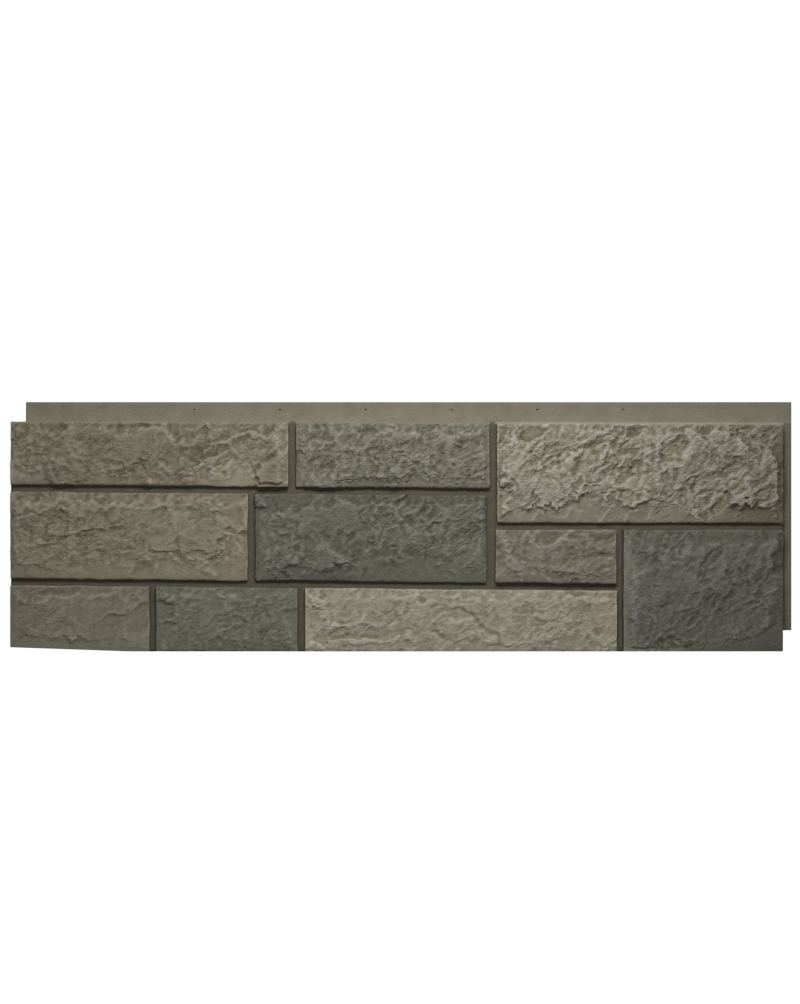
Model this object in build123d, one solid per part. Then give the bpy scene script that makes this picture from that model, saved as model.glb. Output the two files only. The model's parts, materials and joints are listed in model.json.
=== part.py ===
"""Siding panel: ten rock-faced stones and their mortar joints, moulded in one piece of rigid foam.

It lies on its back: X runs along the panel, Y up the wall, Z out of the wall. All sizes in mm.
"""

import math
import os

from build123d import *

os.makedirs("parts", exist_ok=True)

# One panel, and what of it stays in view on a wall
LENGTH = 1231.9
HEIGHT = 393.7
THICKNESS = 31.75
TOP_FLANGE = 33.3
END_FLANGE = 14.3
FACE_LENGTH = LENGTH - END_FLANGE
FACE_HEIGHT = HEIGHT - TOP_FLANGE

# Section, from the back
FLANGE_THICKNESS = 9.5
LAP_PLAY = 0.5
LAP_LEVEL = FLANGE_THICKNESS + LAP_PLAY
BED_LEVEL = LAP_LEVEL + 7.0
EDGE_LEVEL = BED_LEVEL + 4.5

# Laps behind the face: the flange below and the flange to the left go in here
LAP_BOTTOM = TOP_FLANGE
LAP_LEFT = END_FLANGE + 9.0

# Nail marks, three to each stud space of a wall
STUD_SPACING = 406.4
NAIL_COUNT = 6
NAIL_PITCH = STUD_SPACING / 3
NAIL_RADIUS = 1.9
NAIL_DEPTH = 3.0
NAIL_EDGE = 12.5

# Mortar joints and the slope of the stones' sides
COURSE_JOINT = 7.8
HEAD_JOINT = 8.8
BED_SETBACK = 3.0
SIDE_DRAFT = 9.0
BED_BEVEL = 2.0

# Joints between courses: height above the panel's lower edge at the left and right of the face
TOP_LINE = (FACE_HEIGHT + 2.6, FACE_HEIGHT - 1.9)
UPPER_JOINT = (257.6, 247.2)
STEP_JOINT = (198.2, 197.0)
LOWER_JOINT = (110.1, 99.3)
CORNER_LIFT = 6.5
CORNER_FLAT = 34.0

# Joints between stones, from the left end of the face
STEP_JOINT_AT = 759.4
TOP_COURSE = (444.4, STEP_JOINT_AT)
MIDDLE_SETBACK = 4.0
MIDDLE_COURSE = (379.6, STEP_JOINT_AT - MIDDLE_SETBACK)
STEP_COLUMN = 959.4
BOTTOM_COURSE = (224.1, 458.6)

# Each stone: its ends, the course lines under and over it, whether a joint is on that side
# (left, right, lower, upper), its crown as fractions of length and height with the drop below the
# panel's full thickness, the crown's four falls (left, right, lower, upper), and how deeply its
# sides were pitched off
STONES = {
    "top_left": dict(
        ends=(0.0, TOP_COURSE[0]), lines=(UPPER_JOINT, TOP_LINE), joints=(0, 1, 1, 0),
        crown=(0.545, 0.60, 0.0), falls=(0.010, 0.014, 0.032, 0.032), pitched=1.0,
    ),
    "top_middle": dict(
        ends=TOP_COURSE, lines=(UPPER_JOINT, TOP_LINE), joints=(1, 1, 1, 0),
        crown=(0.45, 0.58, 1.8), falls=(0.014, 0.012, 0.024, 0.020), pitched=1.0,
    ),
    "top_right": dict(
        ends=(TOP_COURSE[1], FACE_LENGTH), lines=(STEP_JOINT, TOP_LINE), joints=(1, 0, 1, 0),
        crown=(0.42, 0.55, 3.2), falls=(0.006, 0.010, 0.016, 0.018), pitched=1.0,
    ),
    "middle_left": dict(
        ends=(0.0, MIDDLE_COURSE[0]), lines=(LOWER_JOINT, UPPER_JOINT), joints=(0, 1, 1, 1),
        crown=(0.40, 0.60, 2.0), falls=(0.008, 0.012, 0.020, 0.016), pitched=1.0,
    ),
    "middle": dict(
        ends=MIDDLE_COURSE, lines=(LOWER_JOINT, UPPER_JOINT), joints=(1, 1, 1, 1),
        crown=(0.34, 0.62, 2.0), falls=(0.014, 0.012, 0.024, 0.016), pitched=1.0,
    ),
    "middle_right": dict(
        ends=(STEP_JOINT_AT, STEP_COLUMN), lines=(LOWER_JOINT, STEP_JOINT), joints=(1, 1, 1, 1),
        crown=(0.46, 0.56, 1.8), falls=(0.012, 0.012, 0.020, 0.016), pitched=0.80,
    ),
    "bottom_left": dict(
        ends=(0.0, BOTTOM_COURSE[0]), lines=((0.0, 0.0), LOWER_JOINT), joints=(0, 1, 0, 1),
        crown=(0.52, 0.60, 4.4), falls=(0.006, 0.010, 0.014, 0.014), pitched=0.50,
    ),
    "bottom_middle": dict(
        ends=BOTTOM_COURSE, lines=((0.0, 0.0), LOWER_JOINT), joints=(1, 1, 0, 1),
        crown=(0.55, 0.62, 3.0), falls=(0.012, 0.012, 0.020, 0.016), pitched=0.75,
    ),
    "bottom_right": dict(
        ends=(BOTTOM_COURSE[1], STEP_COLUMN), lines=((0.0, 0.0), LOWER_JOINT), joints=(1, 1, 0, 1),
        crown=(0.44, 0.64, 1.6), falls=(0.005, 0.006, 0.020, 0.016), pitched=0.75,
    ),
    "end_block": dict(
        ends=(STEP_COLUMN, FACE_LENGTH), lines=((0.0, 0.0), STEP_JOINT), joints=(1, 0, 0, 1),
        crown=(0.42, 0.60, 2.2), falls=(0.020, 0.026, 0.024, 0.020), pitched=0.60,
    ),
}

# Scars where the mason pitched off each side: where each begins as a fraction of that side from its
# left or lower end, and its reach into the face
SCARS = {
    "top_left": dict(
        lower=((0, 27), (0.14, 9), (0.25, 18), (0.40, 27), (0.475, 15), (0.66, 24), (0.74, 36), (0.875, 9)),
        upper=((0, 9), (0.09, 22), (0.18, 7), (0.34, 20), (0.48, 7), (0.59, 33), (0.745, 18), (0.95, 6)),
        left=((0, 7), (0.40, 16), (0.72, 6)),
        right=((0, 6), (0.65, 13)),
    ),
    "top_middle": dict(
        lower=((0, 10), (0.25, 21), (0.40, 12), (0.56, 33), (0.72, 17), (0.90, 13)),
        upper=((0, 8), (0.12, 19), (0.24, 13), (0.33, 20), (0.46, 9), (0.54, 18), (0.70, 7), (0.82, 12)),
        left=((0, 17), (0.60, 5)),
        right=((0, 6), (0.40, 8)),
    ),
    "top_right": dict(
        lower=(
            (0, 12), (0.08, 20), (0.235, 37), (0.405, 24), (0.52, 38), (0.675, 18), (0.755, 29), (0.87, 24),
        ),
        upper=(
            (0, 25), (0.12, 12), (0.16, 26), (0.23, 10), (0.40, 20), (0.46, 8), (0.55, 18), (0.66, 8),
            (0.88, 20),
        ),
        left=((0, 6),),
        right=((0, 12), (0.20, 8), (0.80, 15)),
    ),
    "middle_left": dict(
        lower=((0, 34), (0.05, 21), (0.20, 30), (0.33, 36), (0.47, 30), (0.58, 39), (0.73, 32), (0.86, 45)),
        upper=((0, 12), (0.20, 15), (0.34, 17), (0.48, 14), (0.62, 18), (0.86, 22)),
        left=((0, 14), (0.45, 8)),
        right=((0, 6), (0.25, 22), (0.58, 6)),
    ),
    "middle": dict(
        lower=((0, 22), (0.10, 17), (0.41, 36), (0.56, 41), (0.66, 47), (0.80, 35), (0.92, 41)),
        upper=((0, 16), (0.06, 27), (0.34, 11), (0.46, 16), (0.62, 18), (0.80, 11)),
        left=((0, 14), (0.12, 24), (0.84, 7)),
        right=((0, 9),),
    ),
    "middle_right": dict(
        lower=((0, 17), (0.25, 20), (0.50, 14), (0.82, 17)),
        upper=((0, 9), (0.08, 23), (0.30, 10), (0.66, 20), (0.82, 28)),
        left=((0, 11), (0.70, 7)),
        right=((0, 8),),
    ),
    "bottom_left": dict(
        lower=((0, 17), (0.60, 19)),
        upper=((0, 11), (0.10, 24), (0.42, 12), (0.80, 18)),
        left=((0, 5),),
        right=((0, 10), (0.30, 24), (0.85, 10)),
    ),
    "bottom_middle": dict(
        lower=((0, 8), (0.28, 15), (0.58, 10), (0.72, 16), (0.95, 7)),
        upper=((0, 9), (0.12, 12), (0.50, 19), (0.88, 9)),
        left=((0, 20), (0.16, 31), (0.44, 14), (0.52, 29), (0.80, 6)),
        right=((0, 11), (0.42, 25), (0.68, 7)),
    ),
    "bottom_right": dict(
        lower=(
            (0, 10), (0.09, 16), (0.14, 9), (0.26, 13), (0.35, 16), (0.50, 24), (0.58, 10), (0.70, 14),
            (0.88, 8),
        ),
        upper=((0, 20), (0.12, 15), (0.28, 11), (0.36, 18), (0.42, 12), (0.56, 16), (0.72, 12), (0.90, 9)),
        left=((0, 14), (0.28, 28), (0.68, 8)),
        right=((0, 5),),
    ),
    "end_block": dict(
        lower=((0, 5), (0.50, 14), (0.78, 30)),
        upper=((0, 16), (0.16, 29), (0.36, 26), (0.60, 19), (0.86, 11)),
        left=((0, 10), (0.50, 17), (0.90, 8)),
        right=((0, 20), (0.32, 10), (0.72, 13), (0.82, 7)),
    ),
}
SCAR_SLOPES = dict(lower=0.60, upper=0.50, left=0.50, right=0.50)
SCAR_START = 2.0
SCAR_DIP = 1.0
SCAR_OVERLAP = 12.0

# Shells broken off the crowns: place as fractions of the stone's length and height, width and depth
SHELLS = {
    "top_left": (
        (0.13, 0.60, 70, 2.6), (0.31, 0.66, 66, 2.4), (0.46, 0.36, 54, 2.0), (0.68, 0.62, 62, 2.4),
    ),
    "top_middle": (
        (0.15, 0.46, 62, 2.4), (0.28, 0.72, 56, 2.2), (0.40, 0.40, 58, 2.2), (0.58, 0.64, 60, 2.4),
        (0.74, 0.44, 58, 2.4), (0.90, 0.60, 54, 2.6),
    ),
    "top_right": (
        (0.142, 0.80, 62, 3.2), (0.276, 0.86, 58, 2.8), (0.503, 0.84, 62, 3.0), (0.64, 0.84, 58, 2.6),
        (0.80, 0.60, 68, 3.2), (0.611, 0.57, 64, 3.2), (0.155, 0.50, 66, 3.0), (0.265, 0.38, 62, 2.8),
        (0.43, 0.42, 64, 2.8), (0.569, 0.31, 58, 2.6), (0.70, 0.38, 66, 2.8), (0.906, 0.80, 60, 3.0),
        (0.917, 0.42, 66, 2.8),
    ),
    "middle_left": (
        (0.16, 0.36, 64, 2.0), (0.33, 0.32, 60, 2.0), (0.52, 0.34, 64, 2.0), (0.72, 0.36, 64, 2.0),
        (0.20, 0.71, 66, 2.0), (0.40, 0.68, 64, 2.0), (0.60, 0.68, 66, 2.0), (0.80, 0.70, 64, 2.2),
    ),
    "middle": (
        (0.125, 0.58, 62, 2.2), (0.22, 0.34, 60, 2.0), (0.38, 0.48, 66, 2.6), (0.51, 0.74, 62, 2.0),
        (0.58, 0.42, 62, 2.2), (0.73, 0.75, 64, 2.2), (0.89, 0.58, 62, 2.2),
    ),
    "middle_right": ((0.25, 0.58, 56, 2.2), (0.56, 0.50, 60, 2.2), (0.86, 0.56, 50, 2.0)),
    "bottom_left": (),
    "bottom_middle": ((0.34, 0.52, 68, 1.6), (0.68, 0.46, 70, 1.6)),
    "bottom_right": (
        (0.14, 0.62, 66, 2.2), (0.29, 0.50, 60, 2.0), (0.44, 0.64, 64, 2.2), (0.58, 0.46, 62, 2.2),
        (0.73, 0.56, 66, 2.0), (0.89, 0.60, 62, 2.2),
    ),
    "end_block": (
        (0.22, 0.66, 72, 1.8), (0.52, 0.74, 74, 2.0), (0.82, 0.60, 72, 2.0), (0.34, 0.32, 74, 1.8),
        (0.68, 0.32, 72, 2.0),
    ),
}

# Slanting breaks in the crowns: place as fractions of the stone's length and height, half length and
# half width, turn, depth at the middle, and how the floor rises towards the right and upwards
BREAKS = {
    "top_left": ((0.855, 0.46, 32, 17, 24, 1.8, 0.03, 0.10),),
    "top_middle": ((0.912, 0.60, 22, 9, 8, 1.8, 0.0, 0.20), (0.455, 0.63, 28, 9, 20, 1.3, 0.02, 0.14)),
    "top_right": (
        (0.357, 0.82, 22, 8, 22, 2.4, 0.0, 0.24), (0.294, 0.91, 30, 11, 8, 1.8, 0.0, 0.20),
        (0.135, 0.91, 14, 10, 20, 1.8, 0.0, 0.20), (0.496, 0.93, 14, 8, 30, 1.6, 0.0, 0.20),
        (0.900, 0.86, 18, 9, -12, 2.0, 0.0, 0.22), (0.803, 0.64, 13, 10, 10, 2.2, 0.05, 0.20),
        (0.609, 0.64, 15, 9, 30, 1.4, 0.0, 0.14),
    ),
    "middle": ((0.381, 0.49, 34, 13, -46, 2.4, 0.08, 0.14), (0.728, 0.33, 27, 11, -16, 1.6, 0.03, 0.18)),
    "middle_right": ((0.430, 0.89, 14, 8, 0, 1.6, 0.0, 0.16), (0.566, 0.52, 28, 12, 20, 1.3, 0.0, 0.10)),
    "bottom_right": ((0.461, 0.66, 34, 10, -6, 1.3, 0.0, 0.14),),
}

# Natural ledges: the face is set down on one side of a straight break (start and end of the break as
# fractions of the stone, set-down, side that lies lower)
LEDGES = {
    "middle_left": ((0.02, 0.84), (0.62, 0.80), 1.2, 1),
    "bottom_right": ((0.05, 0.26), (0.30, 0.35), 2.6, -1),
}


def height_on(line, x):
    """Height of a course line at a place along the face."""
    low, high = line
    return low + (high - low) * x / FACE_LENGTH


def foot_outline(stone):
    """Corners of a stone where it meets the bed, from the joints around it."""
    left, right = stone["ends"]
    lower, upper = stone["lines"]
    widths = (HEAD_JOINT, HEAD_JOINT, COURSE_JOINT, COURSE_JOINT)
    gap = [width / 2 * side for width, side in zip(widths, stone["joints"])]
    left, right = left + gap[0], right - gap[1]
    corners = [
        (right, height_on(lower, right) + gap[2]),
        (right, height_on(upper, right) - gap[3]),
        (left, height_on(upper, left) - gap[3]),
        (left, height_on(lower, left) + gap[2]),
    ]
    if stone["lines"][0] == (0.0, 0.0) and left == 0.0:
        corners[3] = (left, CORNER_LIFT)
        corners.append((right - CORNER_FLAT, 0.0))
    return corners


def place_on(corners, along, up):
    """Point of a stone's face at these fractions of its length and height."""
    (right, lower_right), (_, upper_right), (left, upper_left), (_, lower_left) = corners[:4]
    lower = lower_left + along * (lower_right - lower_left)
    upper = upper_left + along * (upper_right - upper_left)
    return left + along * (right - left), lower + up * (upper - lower)


def crown_level(stone, corners, x, y):
    """Height of the crown planes over a point."""
    across, up, drop = stone["crown"]
    peak_x, peak_y = place_on(corners, across, up)
    left, right, lower, upper = stone["falls"]
    falls = (left * (peak_x - x), right * (x - peak_x), lower * (peak_y - y), upper * (y - peak_y))
    return THICKNESS - drop - max(falls)


def above(point, slope_x, slope_y):
    """Everything in front of a plane with these slopes, to be split away from a stone."""
    size = 3000.0
    face = Plane(origin=point, z_dir=(-slope_x, -slope_y, 1.0))
    return face * Pos(0, 0, size / 2) * Box(size, size, size)


def crown(body, stone, corners):
    """Four gently falling planes that meet at the stone's highest point."""
    across, up, drop = stone["crown"]
    peak = (*place_on(corners, across, up), THICKNESS - drop)
    left, right, lower, upper = stone["falls"]
    for slope in ((left, 0.0), (-right, 0.0), (0.0, lower), (0.0, -upper)):
        body = body - above(peak, *slope)
    return body


def scar(stone, corners, side, start, end, reach):
    """Box whose underside leaves a flat scar, from the edge of a side up to the crown."""
    inset = (EDGE_LEVEL - LAP_LEVEL) * math.tan(math.radians(SIDE_DRAFT))
    lower_left, lower_right, upper_left, upper_right = (0, 0), (1, 0), (0, 1), (1, 1)
    ends = dict(
        lower=(lower_left, lower_right),
        upper=(upper_left, upper_right),
        left=(lower_left, upper_left),
        right=(lower_right, upper_right),
    )
    (ax, ay), (bx, by) = (place_on(corners, *place) for place in ends[side])
    turn = math.atan2(by - ay, bx - ax)
    into = 1.0 if side in ("lower", "right") else -1.0  # which way across the side the face lies
    nx, ny = -into * math.sin(turn), into * math.cos(turn)
    run = (end - start) * math.hypot(bx - ax, by - ay)
    middle = (start + end) / 2
    x = ax + middle * (bx - ax) + nx * (inset - SCAR_START)
    y = ay + middle * (by - ay) + ny * (inset - SCAR_START)
    run_up = reach + SCAR_START
    level = crown_level(stone, corners, x + nx * run_up, y + ny * run_up)
    drop = min(level - EDGE_LEVEL + SCAR_DIP, SCAR_SLOPES[side] * run_up) * stone["pitched"]
    tilt = math.degrees(math.atan2(drop, run_up)) * into
    size = 400.0
    box = Pos(0, into * (size / 2 - SCAR_OVERLAP), size / 2) * Box(run, size, size)
    return Pos(x, y, level - drop) * Rot(0, 0, math.degrees(turn)) * Rot(tilt, 0, 0) * box


def pitch(body, name, stone, corners):
    """Take the scars off all four sides, each up to where the next begins."""
    for side, scars in SCARS[name].items():
        starts = [start for start, reach in scars] + [1.0]
        for number, (start, reach) in enumerate(scars):
            end = starts[number + 1]
            first, last = start == 0, end == 1.0
            body = body - scar(stone, corners, side, start - 0.1 * first, end + 0.1 * last, reach)
    return body


def shell(stone, corners, along, up, width, depth):
    """Ball that breaks a shallow shell off the crown, its poles to the sides."""
    x, y = place_on(corners, along, up)
    ball = (width * width / 4 + depth * depth) / (2 * depth)
    return Pos(x, y, crown_level(stone, corners, x, y) + ball - depth) * Rot(90, 0, 0) * Sphere(ball)


def slanting_break(stone, corners, along, up, half_length, half_width, turn, depth, rise_x, rise_y):
    """Turned block with a sloping underside that sinks a break into the crown."""
    x, y = place_on(corners, along, up)
    tall = 40.0
    block = Pos(x, y, THICKNESS) * Rot(0, 0, turn) * Box(2 * half_length, 2 * half_width, tall)
    return block & above((x, y, crown_level(stone, corners, x, y) - depth), rise_x, rise_y)


def rock(name):
    """One stone, standing on the level of the laps."""
    stone = STONES[name]
    corners = foot_outline(stone)
    foot = Pos(0, 0, LAP_LEVEL) * make_face(Polyline(*corners, close=True))
    body = extrude(foot, amount=THICKNESS - LAP_LEVEL, taper=SIDE_DRAFT)
    body = crown(body, stone, corners)
    for along, up, width, depth in SHELLS[name]:
        body = body - shell(stone, corners, along, up, width, depth)
    for place in BREAKS.get(name, ()):
        body = body - slanting_break(stone, corners, *place)
    body = pitch(body, name, stone, corners)
    if name in LEDGES:
        body = body - ledge(stone, corners, *LEDGES[name])
    return body


def ledge(stone, corners, start, end, down, side):
    """Slab whose underside sets part of the face down beside a break."""
    ax, ay = place_on(corners, *start)
    bx, by = place_on(corners, *end)
    length = math.hypot(bx - ax, by - ay)
    turn = math.degrees(math.atan2(by - ay, bx - ax))
    level = crown_level(stone, corners, (ax + bx) / 2, (ay + by) / 2) - down
    depth = 200.0
    slab = Pos(length / 2, side * depth / 2, depth / 2) * Box(length, depth, depth)
    return Pos(ax, ay, level) * Rot(0, 0, turn) * slab


top_left = (0.0, height_on(TOP_LINE, 0.0))
top_right = (FACE_LENGTH, height_on(TOP_LINE, FACE_LENGTH))

# Core: the thick middle behind the face, with a flange along the top and the right end
core_foot = Polyline(
    (LAP_LEFT, LAP_BOTTOM),
    (FACE_LENGTH, LAP_BOTTOM),
    top_right,
    (LAP_LEFT, height_on(TOP_LINE, LAP_LEFT)),
    close=True,
)
core = extrude(make_face(core_foot), amount=BED_LEVEL)
flange_length = LENGTH - LAP_LEFT
flange_height = HEIGHT - LAP_BOTTOM
flanges = Pos(LAP_LEFT + flange_length / 2, LAP_BOTTOM + flange_height / 2, 0) * Box(
    flange_length, flange_height, FLANGE_THICKNESS, align=(Align.CENTER, Align.CENTER, Align.MIN)
)

# Mortar bed: fills the joints, held back from the stones' outer ends, bevelled towards the flanges
bed_foot = Polyline(
    (BED_SETBACK, BED_SETBACK),
    (FACE_LENGTH, BED_SETBACK),
    top_right,
    (BED_SETBACK, height_on(TOP_LINE, BED_SETBACK)),
    close=True,
)
bed = extrude(Pos(0, 0, LAP_LEVEL) * make_face(bed_foot), amount=BED_LEVEL - LAP_LEVEL)
bed = chamfer(bed.faces().sort_by(Axis.Z)[-1].edges(), BED_BEVEL)
core = core & extrude(make_face(core_foot), amount=LAP_LEVEL)

panel = flanges + core + bed
for name in STONES:
    panel = panel + rock(name)

# Nail marks along the middle of the top flange
nail_middle = LAP_LEFT + flange_length / 2
for number in range(NAIL_COUNT):
    x = nail_middle + (number - (NAIL_COUNT - 1) / 2) * NAIL_PITCH
    mark = Cylinder(NAIL_RADIUS, NAIL_DEPTH, align=(Align.CENTER, Align.CENTER, Align.MAX))
    panel = panel - Pos(x, HEIGHT - NAIL_EDGE, FLANGE_THICKNESS) * mark

# The origin is the middle of the panel's back
panel = Pos(-LENGTH / 2, -HEIGHT / 2, 0) * panel
solids = panel.solids()
print("solids", len(solids), "volume", round(sum(s.volume for s in solids)))
box = panel.bounding_box()
print("box", box.min, box.max)
export_step(solids[0], "parts/stone_panel.step")
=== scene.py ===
import json
import math

import bmesh
import bpy
import numpy as np
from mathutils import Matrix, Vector


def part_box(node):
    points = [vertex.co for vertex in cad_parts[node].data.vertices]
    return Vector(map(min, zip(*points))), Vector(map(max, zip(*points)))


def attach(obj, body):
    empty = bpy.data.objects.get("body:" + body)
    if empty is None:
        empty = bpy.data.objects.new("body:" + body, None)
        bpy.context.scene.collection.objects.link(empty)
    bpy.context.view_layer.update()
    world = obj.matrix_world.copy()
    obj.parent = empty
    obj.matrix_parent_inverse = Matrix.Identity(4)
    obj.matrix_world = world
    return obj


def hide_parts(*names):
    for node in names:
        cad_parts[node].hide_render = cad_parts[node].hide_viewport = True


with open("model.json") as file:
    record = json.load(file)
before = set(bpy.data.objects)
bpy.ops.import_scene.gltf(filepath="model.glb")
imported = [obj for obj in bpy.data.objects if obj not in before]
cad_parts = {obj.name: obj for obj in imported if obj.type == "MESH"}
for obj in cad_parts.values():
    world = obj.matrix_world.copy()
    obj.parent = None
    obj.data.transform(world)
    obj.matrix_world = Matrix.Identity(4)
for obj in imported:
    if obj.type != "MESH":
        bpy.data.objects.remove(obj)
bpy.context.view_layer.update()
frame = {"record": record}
mm = 0.001

# where the frame puts the panel: its box, its flange and lap levels and its nail marks
low, high = (Vector(corner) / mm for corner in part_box("stone_panel"))
mounts = {m["name"]: m for m in frame["record"]["mounts"]}
length, height, thickness = high - low
flangeLevel = mounts["top_flange"]["pos_m"][2] / mm
lapLevel = mounts["lower_lap"]["pos_m"][2] / mm
print("panel", round(length, 1), "by", round(height, 1), "by", round(thickness, 2), "mm")

panelForm = {
    "topFlange": 33.3,  # height of the plain strip over the stones and of the lap behind their feet
    "endFlange": 14.3,  # width of the plain strip at the right end
    "lapLeft": 23.3,  # lap behind the stones at the left end
    "bedHeight": 7.0,  # mortar over the laps
    "edgeHeight": 4.5,  # stones' edges over the mortar
    "courseJoint": 7.8,  # joints between courses, at the stones' feet
    "headJoint": 8.8,  # joints between the stones of a course
    "draft": 9.0,  # slope of the stones' sides, degrees
    "bedSetback": 3.0,  # the mortar stops short of the stones' ends
    "cornerLift": 6.5,  # the lower left corner is cut up by this much
    "cornerFlat": 34.0,  # the cut ends this far before the first upright joint
    "cornerRise": 50.0,  # and fades out over this height
    "columnStep": 2.7,  # spacing of the relief's grid
    "rowStep": 2.0,
    "flangeStep": 4.2,  # height of its cells on the top flange
    "roundedEdge": 1.0,  # width of the rounding of the flanges' outer edges
    "roundedDrop": 0.7,  # its depth, as a share of its width
    "flangeSwell": (60.0, 0.10),  # wave and height in mm of the flanges' unevenness
    "sharpAngle": 55.0,  # edges that turn by more degrees than this look sharp
}
faceLength = length - panelForm["endFlange"]
faceHeight = height - panelForm["topFlange"]
bedLevel = lapLevel + panelForm["bedHeight"]
edgeLevel = bedLevel + panelForm["edgeHeight"]
lean = math.tan(math.radians(panelForm["draft"]))
outerInset = (edgeLevel - lapLevel) * lean
bedRise = (bedLevel - lapLevel) * lean
halfHead, halfCourse = panelForm["headJoint"] / 2, panelForm["courseJoint"] / 2

# height of each joint between courses, at the left and right end of the face
courses = {
    "foot": (0.0, 0.0),
    "lower": (110.1, 99.3),
    "step": (198.2, 197.0),
    "upper": (257.6, 247.2),
    "top": (faceHeight + 2.6, faceHeight - 1.9),
}
# middle of each upright joint
uprights = {"a": 224.1, "b": 379.6, "c": 444.4, "d": 458.6, "e": 759.4, "f": 959.4}
cutEnd = uprights["a"] - halfHead - panelForm["cornerFlat"]

# the courses each upright joint runs between, and the painted shade in its left and right corner: share of
# the mortar's colour left, painted light where it is over 1
jointCornerShade = {
    "a": ("foot", "lower", 0.55, 0.75),
    "b": ("lower", "upper", 0.9, 0.5),
    "c": ("upper", "top", 0.8, 0.7),
    "d": ("foot", "lower", 0.7, 0.75),
    "e": ("lower", "top", 0.85, 0.6),
    "f": ("foot", "step", 1.3, 0.4),
}


def sRGB(red, green, blue):
    scaled = [value / 255 for value in (red, green, blue)]
    return [v / 12.92 if v <= 0.04045 else ((v + 0.055) / 1.055) ** 2.4 for v in scaled]
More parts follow.
